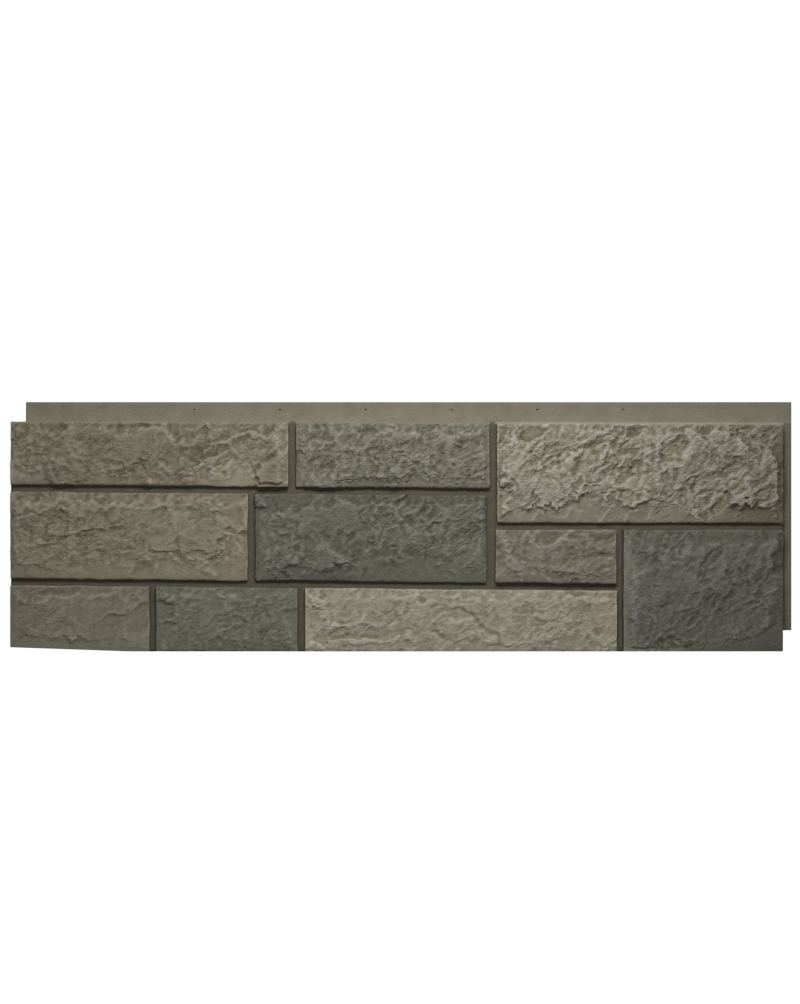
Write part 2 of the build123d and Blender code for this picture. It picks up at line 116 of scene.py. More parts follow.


# Each stone, in mm from the lower left corner of the panel:
# ends, between: its upright joints and its courses, trim: how far its ends are moved to the right
# crown: its peak (along, up, drop), falls: its slopes to the left, right, foot and head
# shells broken off the crown: along, up, width, depth
# left, right, foot, head: reach of the scars of its pitched sides (place along the side, reach)
# pitch: how much of their depth these have, relief: strength of the finer relief
# turn, stretch, seed: direction of this relief in degrees, its length across its width, its random draw
# hollows: x, y, half length, half width, turn, depth, rise along x and along y
# strokes, which are ridges or cracks: from x, y to x, y, width, rise
# coat: its colour, shade: how light that is from place to place along the stone
# stain and shading: how much darker the scars are from place to place, and paler below 0, partly their own
# stain and partly painted shade and light; head shade: painted shade on the head's scars
stones = {
    "topLeft": {
        "ends": (0, uprights["c"]), "between": ("upper", "top"), "coat": (125, 119, 100),
        "crown": (0.545, 0.6, 0.6), "falls": (0.010, 0.014, 0.032, 0.032),
        "pitch": 0.9, "relief": 0.8, "turn": 22, "stretch": 1.5, "seed": 11,
        "stainAndShading": [(0, -0.38), (260, -0.28), (300, -0.5), (437, -0.5)],
        "shells": [
            (0.13, 0.6, 70, 2.6), (0.31, 0.66, 66, 2.4), (0.46, 0.36, 54, 2), (0.68, 0.62, 62, 2.4),
        ],
        "foot": [
            (0, 28), (35, 27), (69, 12), (80, 7), (114, 18), (150, 22), (196, 28), (211, 16), (256, 16),
            (284, 13), (298, 25), (330, 36), (371, 38), (386, 24), (392, 5), (437, 5),
        ],
        "head": [
            (0, 6), (20, 14), (55, 20), (75, 26), (90, 8), (130, 6), (160, 16), (196, 20), (215, 6),
            (244, 8), (254, 26), (290, 36), (312, 42), (345, 32), (384, 18), (405, 22), (425, 9), (437, 4),
        ],
        "left": [(257, 6), (299, 8), (301, 17), (333, 15), (336, 5), (363, 5)],
        "right": [(250, 5), (272, 8), (300, 6), (330, 12), (345, 14), (360, 6)],
        "hollows": [
            (96, 318, 30, 10, 14, 1.4, 0.02, 0.1), (155, 293, 7, 4, 0, 1.3, 0, 0.2),
            (220, 306, 34, 14, -34, 1, 0.04, 0.06), (376, 306, 32, 17, 24, 1.8, 0.03, 0.1),
            (150, 306, 26, 9, -10, 1.2, 0, 0.12), (184, 358, 26, 3, 0, 1, 0, 0.2),
        ],
        "strokes": [
            (16, 326, 32, 333, 3, 1), (57, 352, 74, 337, 3.5, 1.2), (118, 338, 161, 348, 4, 1),
            (63, 304, 117, 283, 4, 1.4), (319, 324, 382, 345, 3.5, 1.5), (382, 345, 417, 338, 3, 1.3),
            (417, 338, 420, 313, 3, 1.3), (237, 294, 256, 277, 3, 1.3), (170, 322, 232, 300, 3.6, 1),
            (437, 334, 420, 311, 3, -1.5), (420, 311, 384, 279, 3.5, -2.2), (74, 337, 110, 330, 3.4, 0.8),
            (206, 341, 254, 279, 3.2, 1.2), (254, 336, 312, 321, 3.2, 1.3), (312, 321, 384, 344, 3.4, 1.4),
        ],
    },
    "topMiddle": {
        "ends": (uprights["c"], uprights["e"]), "between": ("upper", "top"), "coat": (122, 119, 104),
        "trim": (0.6, 1.4),
        "crown": (0.45, 0.58, 1.8), "falls": (0.014, 0.012, 0.024, 0.02),
        "pitch": 0.92, "relief": 1.08, "turn": 26, "stretch": 1.4, "seed": 23,
        "shells": [
            (0.15, 0.46, 62, 2.4), (0.28, 0.72, 56, 2.2), (0.4, 0.4, 58, 2.2), (0.58, 0.64, 60, 2.4),
            (0.74, 0.44, 58, 2.4), (0.9, 0.6, 54, 2.6),
        ],
        "foot": [
            (451, 22), (458, 9), (466, 9), (513, 8), (549, 23), (568, 15), (617, 11), (645, 36), (658, 25),
            (696, 16), (708, 22), (721, 15), (755, 12),
        ],
        "head": [
            (451, 5), (470, 10), (500, 20), (540, 12), (560, 22), (600, 8), (620, 20), (650, 16), (680, 6),
            (710, 14), (740, 10), (755, 5),
        ],
        "left": [(253, 14), (272, 19), (311, 16), (318, 4), (360, 5)],
        "right": [(250, 5), (300, 6), (330, 9), (358, 5)],
        "hollows": [
            (678, 311, 11, 9, 0, 1.6, 0, 0.1), (728, 318, 22, 8, 8, 1.8, 0, 0.22),
            (480, 345, 20, 8, -6, 1.5, 0, 0.16), (588, 322, 28, 8, 20, 1.3, 0.02, 0.14),
            (694, 346, 16, 6, 0, 1.6, 0, 0.2), (530, 302, 30, 14, 30, 0.9, 0, 0.06),
        ],
        "strokes": [
            (601, 338, 645, 346, 3.2, 1.3), (645, 346, 655, 341, 3, 1.1), (582, 327, 617, 335, 3, 1.2),
            (716, 333, 707, 318, 2.6, -1.5), (520, 326, 560, 318, 3.4, 0.9), (474, 336, 500, 330, 3, 1.2),
            (705, 308, 731, 317, 3, 1.2), (731, 317, 750, 312, 3, 1.2), (500, 346, 520, 340, 3, 1.1),
        ],
    },
    "topRight": {
        "ends": (uprights["e"], faceLength), "between": ("step", "top"), "coat": (148, 143, 125),
        "trim": (1.2, 0),
        "crown": (0.42, 0.55, 3.2), "falls": (0.006, 0.010, 0.016, 0.018),
        "relief": 1.42, "turn": 32, "stretch": 1.6, "seed": 37,
        "stainAndShading": [(760, 0.08), (1000, 0.12), (1080, 0.24), (1216, 0.4)],
        "shade": [(760, 1.04), (1000, 1), (1120, 0.94), (1216, 0.74)],
        "shells": [
            (0.142, 0.8, 62, 3.2), (0.276, 0.86, 58, 2.8), (0.503, 0.84, 62, 3), (0.64, 0.84, 58, 2.6),
            (0.8, 0.6, 68, 3.2), (0.611, 0.57, 64, 3.2), (0.155, 0.5, 66, 3), (0.265, 0.38, 62, 2.8),
            (0.43, 0.42, 64, 2.8), (0.569, 0.31, 58, 2.6), (0.7, 0.38, 66, 2.8), (0.906, 0.8, 60, 3),
            (0.917, 0.42, 66, 2.8),
        ],
        "foot": [
            (760, 10), (773, 10), (795, 16), (823, 20), (833, 21), (839, 17), (855, 21), (867, 17),
            (880, 29), (896, 37), (920, 41), (948, 33), (964, 25), (976, 19), (992, 25), (1016, 37),
            (1036, 39), (1065, 36), (1077, 21), (1097, 17), (1113, 29), (1137, 29), (1149, 13), (1157, 25),
            (1177, 29), (1193, 17), (1214, 13),
        ],
        "head": [
            (766, 26), (800, 24), (823, 12), (840, 28), (868, 16), (890, 8), (935, 10), (960, 22),
            (975, 8), (1000, 10), (1020, 20), (1060, 12), (1084, 6), (1110, 12), (1150, 8), (1190, 22),
            (1216, 8),
        ],
        "left": [(203, 7), (240, 5), (300, 4), (345, 6)],
        "right": [(202, 16), (230, 8), (300, 8), (330, 18), (356, 9)],
        "hollows": [
            (926, 331, 22, 6, 22, 2.4, 0, 0.26), (960, 322, 20, 5, -24, 2, 0, 0.2),
            (825, 346, 13, 9, 20, 1.8, 0, 0.22), (897, 346, 30, 10, 8, 1.8, 0, 0.22),
            (989, 349, 14, 7, 30, 1.6, 0, 0.2), (1090, 350, 10, 6, 0, 1.4, 0, 0.2),
            (1172, 337, 18, 8, -12, 2, 0, 0.24), (1128, 302, 12, 9, 10, 2.2, 0.05, 0.2),
            (1040, 302, 14, 8, 30, 1.4, 0, 0.14), (832, 300, 16, 9, 10, 1.6, 0, 0.14),
        ],
        "strokes": [
            (868, 316, 923, 340, 3.4, 1.5), (923, 340, 944, 336, 3, 1.2), (1150, 327, 1190, 320, 3, 1.5),
            (1184, 318, 1172, 291, 2.6, -1.5), (833, 222, 825, 203, 2.6, 1.2),
            (948, 236, 924, 204, 3, 1.3), (976, 221, 964, 203, 2.6, 1.1), (1020, 238, 1004, 204, 3, 1.4),
            (1077, 223, 1078, 204, 2.6, 1.1), (1149, 215, 1138, 203, 2.6, 1.1),
            (880, 231, 868, 208, 2.8, 1), (766, 338, 800, 334, 3.4, 1.3), (930, 262, 985, 292, 3.8, 1),
            (1060, 270, 1110, 290, 3.4, 1), (1000, 330, 1030, 344, 3.2, 1.3),
        ],
    },
    "middleLeft": {
        "ends": (0, uprights["b"]), "between": ("lower", "upper"), "coat": (133, 127, 107),
        "trim": (0, 1.1),
        "crown": (0.4, 0.6, 2), "falls": (0.008, 0.012, 0.02, 0.016),
        "pitch": 0.88, "relief": 0.72, "turn": 12, "stretch": 1.7, "seed": 41,
        "stainAndShading": [(0, 0.06), (40, -0.12)],
        "shells": [
            (0.16, 0.36, 64, 2), (0.33, 0.32, 60, 2), (0.52, 0.34, 64, 2), (0.72, 0.36, 64, 2),
            (0.2, 0.71, 66, 2), (0.4, 0.68, 64, 2), (0.6, 0.68, 66, 2), (0.8, 0.7, 64, 2.2),
        ],
        "foot": [
            (0, 44), (19, 20), (43, 23), (83, 31), (103, 26), (121, 34), (144, 36), (168, 35), (184, 28),
            (200, 32), (224, 37), (240, 38), (264, 41), (280, 31), (305, 31), (317, 36), (333, 44),
            (373, 48),
        ],
        "head": [
            (0, 10), (40, 16), (90, 12), (150, 18), (200, 14), (259, 20), (300, 12), (346, 26), (373, 8),
        ],
        "left": [(113, 20), (160, 8), (200, 10), (250, 6)],
        "right": [(113, 5), (143, 8), (160, 24), (184, 22), (190, 6), (249, 6)],
        "hollows": [
            (350, 193, 8, 6, 0, 2, 0, 0.15), (120, 150, 26, 12, 24, 1.2, 0.03, 0.12),
            (196, 150, 20, 11, -10, 1.2, 0, 0.12), (60, 160, 30, 12, 14, 1, 0, 0.1),
            (352, 214, 14, 12, -40, 1.4, -0.06, 0.12), (286, 226, 26, 8, 4, 1, 0, 0.12),
        ],
        "strokes": [
            (4, 226, 90, 224, 3.2, 1.2), (90, 224, 160, 229, 3.2, 1.2), (160, 229, 258, 226, 3.2, 1.2),
            (309, 136, 325, 119, 3, 1.4), (340, 210, 368, 178, 3.2, 1.3), (60, 190, 130, 184, 4, 0.6),
            (346, 184, 371, 150, 3.4, 1.2), (82, 146, 106, 158, 3.2, 1.1), (330, 232, 350, 222, 3.2, 1.1),
        ],
    },
    "middle": {
        "ends": (uprights["b"], uprights["e"]), "between": ("lower", "upper"), "coat": (112, 111, 99),
        "trim": (1.2, -4),
        "crown": (0.34, 0.62, 2), "falls": (0.014, 0.012, 0.024, 0.016),
        "relief": 0.8, "turn": 32, "stretch": 1.6, "seed": 53,
        "stainAndShading": [(380, -0.05), (540, 0.1)], "headPaintedShade": 0.28,
        "shells": [
            (0.125, 0.58, 62, 2.2), (0.22, 0.34, 60, 2), (0.38, 0.48, 66, 2.6), (0.51, 0.74, 62, 2),
            (0.58, 0.42, 62, 2.2), (0.73, 0.75, 64, 2.2), (0.89, 0.58, 62, 2.2),
        ],
        "foot": [
            (385, 30), (397, 24), (425, 16), (458, 19), (498, 16), (534, 28), (546, 40), (566, 36),
            (594, 42), (614, 34), (638, 46), (658, 48), (674, 38), (694, 34), (722, 36), (749, 42),
        ],
        "head": [
            (385, 10), (406, 24), (450, 28), (500, 25), (520, 10), (560, 18), (600, 12), (640, 20),
            (700, 14), (754, 8),
        ],
        "left": [(111, 12), (130, 22), (225, 26), (232, 8), (248, 6)],
        "right": [(111, 8), (180, 10), (248, 8)],
        "hollows": [
            (524, 178, 34, 13, -46, 2.4, 0.08, 0.16), (651, 155, 26, 10, -16, 1.6, 0.03, 0.2),
            (723, 192, 7, 6, 0, 1.8, 0, 0.15), (690, 173, 7, 5, 0, 1.6, 0, 0.15),
            (697, 157, 7, 6, 0, 1.6, 0, 0.15), (470, 176, 30, 12, 28, 0.9, 0, 0.08),
        ],
        "strokes": [
            (406, 222, 450, 214, 4, 1), (450, 214, 498, 204, 4, 1.1), (500, 176, 527, 148, 3.6, 1.5),
            (513, 196, 541, 187, 3.6, 1.4), (557, 132, 551, 111, 2.6, -1.4), (596, 152, 617, 141, 3, 1.2),
            (617, 141, 640, 146, 3, 1.2), (560, 214, 640, 222, 4, 0.8), (660, 204, 720, 214, 3.6, 0.9),
            (527, 148, 560, 152, 3.4, 1), (610, 190, 660, 178, 3.6, 0.8),
        ],
    },
    "middleRight": {
        "ends": (uprights["e"], uprights["f"]), "between": ("lower", "step"), "coat": (126, 122, 107),
        "trim": (-0.8, 0.8),
        "crown": (0.46, 0.56, 1.8), "falls": (0.012, 0.012, 0.02, 0.016),
        "pitch": 0.74, "relief": 0.78, "turn": 24, "stretch": 1.4, "seed": 67, "stainAndShading": [(760, -0.09)],
        "shells": [(0.25, 0.58, 56, 2.2), (0.56, 0.5, 60, 2.2), (0.86, 0.56, 50, 2)],
        "foot": [(763, 16), (800, 18), (840, 20), (870, 14), (912, 14), (953, 18)],
        "head": [
            (763, 8), (780, 18), (810, 28), (830, 14), (850, 8), (880, 10), (900, 22), (920, 30),
            (953, 24),
        ],
        "left": [(106, 8), (150, 14), (193, 6)],
        "right": [(106, 6), (150, 10), (193, 8)],
        "hollows": [
            (846, 184, 14, 8, 0, 1.6, 0, 0.16), (812, 158, 20, 10, -30, 1.4, 0.05, 0.1),
            (872, 152, 28, 12, 20, 1.3, 0, 0.1), (930, 186, 16, 6, 0, 1.4, 0, 0.18),
        ],
        "strokes": [
            (766, 171, 805, 179, 3.2, 1.2), (805, 179, 819, 190, 3.2, 1.2), (813, 193, 833, 174, 3.2, 1.3),
            (833, 174, 857, 170, 3.2, 1.2), (879, 188, 911, 179, 3.2, 1.3), (922, 168, 950, 163, 3.2, 1.2),
            (870, 124, 900, 138, 3, 1.2), (900, 138, 914, 124, 3, 1.2), (775, 152, 800, 140, 3.4, 1),
        ],
    },
    "bottomLeft": {
        "ends": (0, uprights["a"]), "between": ("foot", "lower"), "coat": (129, 124, 107),
        "trim": (0, 2.3),
        "crown": (0.52, 0.6, 4.4), "falls": (0.006, 0.010, 0.014, 0.014),
        "pitch": 0.5, "relief": 0.42, "turn": 20, "stretch": 1.7, "seed": 71,
        "shade": [(0, 0.86), (60, 1)],
        "shells": [],
        "foot": [(0, 16), (60, 18), (100, 15), (160, 20), (216, 18)],
        "head": [(0, 10), (14, 12), (30, 26), (103, 12), (136, 14), (177, 8), (185, 20), (220, 12)],
        "left": [(5, 5), (104, 5)],
        "right": [(0, 6), (40, 20), (60, 26), (80, 24), (104, 8)],
        "hollows": [(84, 96, 26, 6, 8, 1.1, 0, 0.16), (200, 52, 12, 22, -10, 0.9, -0.05, 0.05)],
        "strokes": [
            (14, 92, 30, 77, 3.6, 1), (30, 77, 103, 92, 3.6, 1.1), (136, 88, 177, 100, 3.6, 1),
            (55, 26, 150, 24, 4.5, 0.5), (183, 84, 196, 64, 3.6, 0.9), (150, 24, 214, 28, 4.5, 0.5),
            (196, 92, 212, 78, 3.4, 0.9),
        ],
    },
    "bottomMiddle": {
        "ends": (uprights["a"], uprights["d"]), "between": ("foot", "lower"), "coat": (117, 117, 104),
        "trim": (0.8, 0.4),
        "crown": (0.55, 0.62, 3), "falls": (0.012, 0.012, 0.02, 0.016),
        "pitch": 0.75, "relief": 0.55, "turn": 18, "stretch": 1.6, "seed": 83,
        "shells": [(0.34, 0.52, 68, 1.6), (0.68, 0.46, 70, 1.6)],
        "foot": [
            (229, 10), (285, 6), (294, 13), (325, 17), (357, 13), (365, 9), (385, 15), (420, 17), (451, 8),
        ],
        "head": [(229, 8), (260, 14), (310, 10), (350, 16), (400, 22), (430, 14), (454, 6)],
        "left": [(3, 16), (20, 30), (42, 32), (48, 12), (56, 28), (75, 30), (82, 6), (100, 5)],
        "right": [(3, 8), (40, 14), (48, 28), (62, 22), (70, 8), (100, 6)],
        "hollows": [(300, 84, 22, 7, 10, 1, 0, 0.12), (380, 70, 30, 12, -8, 0.8, 0, 0.08)],
        "strokes": [
            (240, 90, 318, 80, 3.8, 0.9), (330, 84, 430, 88, 3.8, 0.9), (290, 44, 380, 40, 4.2, 0.6),
            (262, 70, 258, 46, 3.4, 0.9), (430, 62, 446, 30, 3.4, 0.8),
        ],
    },
    "bottomRight": {
        "ends": (uprights["d"], uprights["f"]), "between": ("foot", "lower"), "coat": (158, 152, 132),
        "trim": (0.4, 1.6),
        "crown": (0.44, 0.64, 1.6), "falls": (0.005, 0.006, 0.02, 0.016),
        "pitch": 0.62, "relief": 0.56, "turn": 16, "stretch": 1.6, "seed": 97,
        "stainAndShading": [(460, -0.3), (620, -0.26), (700, -0.14)],
        "shells": [
            (0.14, 0.62, 66, 2.2), (0.29, 0.5, 60, 2), (0.44, 0.64, 64, 2.2), (0.58, 0.46, 62, 2.2),
            (0.73, 0.56, 66, 2), (0.89, 0.6, 62, 2.2),
        ],
        "foot": [
            (464, 14), (480, 8), (508, 10), (519, 18), (530, 8), (560, 10), (592, 8), (614, 14), (636, 8),
            (645, 14), (660, 19), (677, 9), (690, 22), (705, 10), (718, 18), (734, 27), (752, 10),
            (797, 8), (840, 15), (890, 13), (900, 8), (953, 9),
        ],
        "head": [
            (464, 12), (500, 24), (540, 16), (600, 14), (640, 10), (646, 20), (660, 16), (700, 12),
            (760, 18), (800, 14), (850, 12), (880, 8), (890, 14), (901, 8), (953, 12),
        ],
        "left": [(3, 8), (30, 24), (39, 30), (66, 28), (72, 8), (100, 6)],
        "right": [(3, 5), (100, 5)],
        "hollows": [
            (548, 29, 54, 8, 4, 2.2, 0, 0.22), (890, 92, 13, 5, 0, 1.4, 0, 0.2),
            (653, 86, 6, 4, 0, 1.6, 0, 0.15), (926, 38, 10, 6, 40, 1.4, 0.05, 0.16),
            (690, 66, 34, 9, -6, 1.3, 0, 0.14), (540, 62, 28, 14, 20, 0.9, 0, 0.08),
            (900, 66, 20, 10, -20, 1.2, 0.04, 0.12),
        ],
        "strokes": [
            (666, 37, 688, 17, 2.6, -1.4), (707, 66, 729, 58, 2.8, -1.3), (729, 58, 775, 12, 2.8, -1.5),
            (899, 80, 942, 80, 3, 1.3), (620, 74, 611, 54, 2.8, 1.2), (498, 39, 568, 43, 2.6, 1.3),
            (568, 43, 608, 44, 2.6, 1.3), (790, 60, 870, 56, 4, 0.7), (640, 90, 740, 84, 4, 0.8),
            (660, 82, 700, 76, 3.2, 1), (470, 90, 500, 76, 3.4, 1.1), (750, 84, 880, 90, 3.8, 0.8),
        ],
    },
    "endBlock": {
        "ends": (uprights["f"], faceLength), "between": ("foot", "step"), "coat": (106, 105, 94),
        "crown": (0.42, 0.6, 2.2), "falls": (0.020, 0.026, 0.024, 0.020),
        "pitch": 0.6, "relief": 0.8, "turn": 40, "stretch": 1.6, "seed": 101,
        "stainAndShading": [(960, -0.62), (1060, -0.4), (1120, 0), (1216, 0.36)],
        "shells": [
            (0.22, 0.66, 72, 1.8), (0.52, 0.74, 74, 2), (0.82, 0.6, 72, 2), (0.34, 0.32, 74, 1.8),
            (0.68, 0.32, 72, 2),
        ],
        "foot": [(965, 4), (1050, 5), (1120, 14), (1180, 32), (1216, 28)],
        "head": [
            (965, 14), (975, 18), (1010, 24), (1035, 34), (1080, 26), (1130, 20), (1180, 18), (1216, 8),
        ],
        "left": [(2, 8), (100, 14), (150, 20), (192, 8)],
        "right": [(2, 24), (60, 18), (130, 8), (145, 14), (160, 8), (192, 6)],
        "hollows": [(1207, 144, 9, 16, 0, 1.3, -0.08, 0.05), (1000, 140, 22, 10, 40, 0.8, 0, 0.08)],
        "strokes": [
            (975, 177, 994, 159, 3.4, 0.9), (1007, 160, 1035, 140, 3.4, 1), (1130, 22, 1200, 62, 3, -0.7),
            (1150, 16, 1208, 48, 3, -0.7), (1060, 150, 1150, 176, 4, 0.6), (980, 60, 1030, 96, 4, 0.5),
            (1190, 160, 1212, 146, 3.2, 0.9), (1100, 132, 1170, 150, 3.8, 0.5),
        ],
    },
}

coats = {
    "flange": (130, 125, 108),
    "flangePaintedLight": (1.10, 0.86),  # painted light: brighter next to the stones, darker at the outer edge
    "endFlange": 0.70,  # share of the flange's colour left on the end flange: painted shade beside the stones
    "flangeEdgeShade": 0.6,  # painted shade on the flanges' outer edges
    "nailMarkShade": 0.9,  # and painted shade in the nail marks
    "mortar": (95, 90, 76),
    "bedEndShade": 0.12,  # share of the mortar's colour left where it stops short: painted shade of the recess there
    "footEdgeShade": 0.5,  # and of a stone's colour at its outer foot and left end: painted shade on these outer sides
    "stainAndShadingTone": (1.0, 1.02, 1.15),  # how much of the red, green and blue the scars' stain and painted shading take
    "foam": (176, 160, 128),
}

rockForm = {
    "blocks": (40.0, 10.5, 0.18),  # size, height in mm and hollowness of the breaks
    "chips": (13.0, 6.6, 0.26),
    "lumps": (6.4, 2.2, 0.6),
    "flakes": (30.0, 2.6, 1.4),  # wave, thickness in mm and number of the flakes
    "sunk": 0.4,  # how far in mm the relief is sunk into the crown
    "patches": (44.0, 0.40),  # wave and strength of rougher and smoother parts
    "swells": (70.0, 0.9),
    "grains": (4.6, 0.34),
    "warp": ((9.0, 2.4), (31.0, 5.0)),  # waves and strengths in mm that bend the breaks' borders
    "facets": (36.0, 1.6, 0.03),  # breaks on the scars
    "facetLie": (0.6, 62.0),  # their stretch and turn
    "footScars": (0.05, 0.46),  # share of the relief left on each side's scars, and their slope
    "headScars": (0.80, 0.42),
    "endScars": (0.35, 0.50),
    "scarBorder": 0.5,  # how far in mm the scars stand over their slope at the stones' edges
    "scarDepth": 1.2,  # how deep in mm they are cut into the crown at full relief
    "scarEnd": 1.25,  # where they end for good, in shares of their reach
    "scarFade": (-0.2, 0.5),  # depth in mm over which the crown turns into a scar
    "scarStainAndShading": -0.06,  # how much darker the scars are, and paler below 0: their stain and painted shade
    "scarGrain": 0.80,  # how much smoother they are than the crown
    # painted shade on the scars under the stones' heads
    "headPaintedShade": 0.12,
    "headFade": (1.2, 0.7),  # where that painted shade starts and is full, in shares of the reach
    "ragged": (11.0, 4.5, 0.30),  # waves and strength of the unevenness of the scars' borders
    "shaken": (8.0, 2.5),  # wave and width in mm of their sideways unevenness
    "hollowRelief": 0.7,  # share of the relief left on the hollows' floors
    "hollowRim": (4.0, 1.6, 0.3),  # rise of their rims, how far these reach, how much they look cut
    "strokes": 1.5,  # how far ridges and cracks stand out
    "strokeEnds": (-4.0, 5.0),  # where in mm they fade out at their ends
    "wornFoot": (1.6, 0.6),  # width and depth in mm of the rounding at the stones' feet
    "eased": (2.1, 2.0),  # what rises to 2.1 mm under the full thickness is eased into 2.0 mm
    "overBed": 1.6,  # how far over the bed the stones stay everywhere
    "rimHighlight": (3.4, 0.55),  # width in mm and strength of the painted highlight along the rims
    "headHighlight": (3.2, 0.16),  # width in mm and strength of the painted highlight along the stones' heads
    "topEdgeHighlight": 1.3,  # how much paler the stones' upper edges are at the flange: a painted highlight
    "wander": (38.0, 0.65),  # wave and strength in mm of the unevenness of the stones' edges
    "wanderIn": 14.0,  # how far in mm it reaches into the stone
    "wanderHeld": (1.0, 9.0),  # how near in mm to the panel's outline it fades out
    "trimIn": 40.0,  # how far in mm a trimmed end moves the stone's inside
}
mortarForm = {
    "sand": 0.30,  # height of the sand in mm
    "dip": 0.4,  # how far in mm the mortar is sunk between the stones
    "grains": ((3.1, 0.5), (7.0, 0.5), (30.0, 0.6)),  # wave and share of each size of sand
}


def smooth(edge0, edge1, value):
    t = np.clip((value - edge0) / (edge1 - edge0), 0, 1)
    return t * t * (3 - 2 * t)


# the same places on axes turned by some degrees
def turned(x, y, degrees):
    c, s = math.cos(math.radians(degrees)), math.sin(math.radians(degrees))
    return x * c + y * s, y * c - x * s


# even noise in mm of wave, between -1 and 1
def swell(x, y, wave, seed):
    table = np.random.default_rng(seed).uniform(-1, 1, (131, 127))
    x, y = x / wave, y / wave
    i, j = np.floor(x).astype(int), np.floor(y).astype(int)
    a, b = x - i, y - j
    a, b = (t * t * t * (t * (t * 6 - 15) + 10) for t in (a, b))
    c00, c01, c10, c11 = (table[(i + p) % 131, (j + q) % 127] for p in (0, 1) for q in (0, 1))
    return (c00 * (1 - b) + c01 * b) * (1 - a) + (c10 * (1 - b) + c11 * b) * a


# breaks in rock: tilted hollow faces, each in its own cell, that meet in ridges
def breaks(x, y, size, hollow, stretch, turn, seed):
    p, q = turned(x, y, turn)
    p, q = p / (size * stretch), q / size
    rng = np.random.default_rng(seed)
    shiftX, shiftY, offset, tiltX, tiltY = rng.uniform(0, 1, (5, 113, 109))
    i, j = np.floor(p).astype(int), np.floor(q).astype(int)
    lowest = np.full(p.shape, 9.0)
    for di in (-2, -1, 0, 1, 2):
        for dj in (-2, -1, 0, 1, 2):
            cell = (i + di) % 113, (j + dj) % 109
            dx = p - (i + di + 0.1 + 0.8 * shiftX[cell])
            dy = q - (j + dj + 0.1 + 0.8 * shiftY[cell])
            tilted = (tiltX[cell] - 0.5) * dx + (tiltY[cell] - 0.5) * dy * 1.3
            lowest = np.minimum(lowest, 0.4 * offset[cell] + hollow * (dx * dx + dy * dy) + tilted)
    return lowest


# thin flakes one over another: tilted treads with ragged edges between them
def flakes(x, y, wave, steps, stretch, turn, seed):
    p, q = turned(x, y, turn)
    p = p / stretch
    level = swell(p, q, wave, seed) + 0.5 * swell(p, q, wave * 0.45, seed + 1)
    part = ((level + 0.2 * swell(p, q, wave * 0.18, seed + 2)) * steps) % 1.0
    return smooth(0.74, 1.0, part) - part + 0.37


# lines of a grid through each mark and evenly between them
def ruled(marks, step):
    lines = [marks[0]]
    for a, b in zip(marks, marks[1:]):
        widest = max(abs(q - p) for p, q in zip(a, b))
        count = max(1, math.ceil(widest / step - 0.5))
        lines += [tuple(p + (q - p) * k / count for p, q in zip(a, b)) for k in range(1, count + 1)]
    return lines


nailForm = {
    "radius": 1.95,
    "depth": 1.8,
    "point": 0.9,  # depth of the cone at the bottom
    "sides": 16,
    "cells": 2,  # grid cells round the middle that each mark takes the place of
    "halfRows": 3.6,  # height of these cells over and under it
    "rowStep": 1.8,  # height of each cell
    "around": 12.0,  # distance within which faces under the flange belong to a mark
    "below": 4.2,  # and how far they may lie under the laps' level
}

rounded = panelForm["roundedEdge"]
lapLeft, lapFoot = panelForm["lapLeft"], panelForm["topFlange"]
columnMarks = [0.0, outerInset, lapLeft, lapLeft + rounded, faceLength - outerInset, faceLength]
columnMarks += [length - rounded, length]


# a joint's middle, the feet of the stones beside it and the edges of their faces
def insetsOf(half):
    return -half - outerInset, -half - bedRise, 0.0, half + bedRise, half + outerInset


columnMarks += [at + inset for at in uprights.values() for inset in insetsOf(halfHead)]
columnMarks = [(at,) for at in sorted(columnMarks)]
columns = np.array([at for (at,) in ruled(columnMarks, panelForm["columnStep"])])

rowMarks = [(0.0, 0.0), (outerInset, outerInset), (lapFoot, lapFoot), (lapFoot + rounded,) * 2]
for course in ("lower", "step", "upper"):
    left, right = courses[course]
    rowMarks += [(left + inset, right + inset) for inset in insetsOf(halfCourse)]
rowMarks += [tuple(end - outerInset for end in courses["top"]), courses["top"]]
rows = ruled(rowMarks, panelForm["rowStep"])
nailY = mounts["nail_marks_inner"]["pos_m"][1] / mm - low.y
nailRows = (nailY - nailForm["halfRows"],) * 2, (nailY + nailForm["halfRows"],) * 2
edgeRows = (height - rounded,) * 2, (height,) * 2
rows += ruled([courses["top"], nailRows[0]], panelForm["flangeStep"])[1:]
rows += ruled(nailRows, nailForm["rowStep"])[1:]
rows += ruled([nailRows[1], edgeRows[0]], panelForm["flangeStep"])[1:] + [edgeRows[1]]
rows = np.array(rows)
lastColumn, lastRow = len(columns) - 1, len(rows) - 1


def columnAt(x):
    return int(np.argmin(abs(columns - x)))


def rowAt(line):
    return int(np.argmin(abs(rows - np.array(line)).sum(1)))


# the flat sheet: a grid, less its two free corners
bm = bmesh.new()
columnLayer = bm.verts.layers.int.new("column")
rowLayer = bm.verts.layers.int.new("row")
bmesh.ops.create_grid(bm, x_segments=lastColumn, y_segments=lastRow, size=1.0)
for vert in bm.verts:
    vert[columnLayer] = round((vert.co.x + 1) / 2 * lastColumn)
    vert[rowLayer] = round((vert.co.y + 1) / 2 * lastRow)
    left, right = rows[vert[rowLayer]]
    x = columns[vert[columnLayer]]
    vert.co = (x, left + (right - left) * min(x / faceLength, 1), flangeLevel)
lapColumn, faceColumn = columnAt(lapLeft), columnAt(faceLength)
lapRow, topRow = rowAt((lapFoot, lapFoot)), rowAt(courses["top"])


def inFreeCorner(face):
    column = min(v[columnLayer] for v in face.verts)
    row = min(v[rowLayer] for v in face.verts)
    return (column < lapColumn and row >= topRow) or (column >= faceColumn and row < lapRow)


bmesh.ops.delete(bm, geom=[f for f in bm.faces if inFreeCorner(f)], context="FACES")
print("sheet", lastColumn, "by", lastRow, "cells")


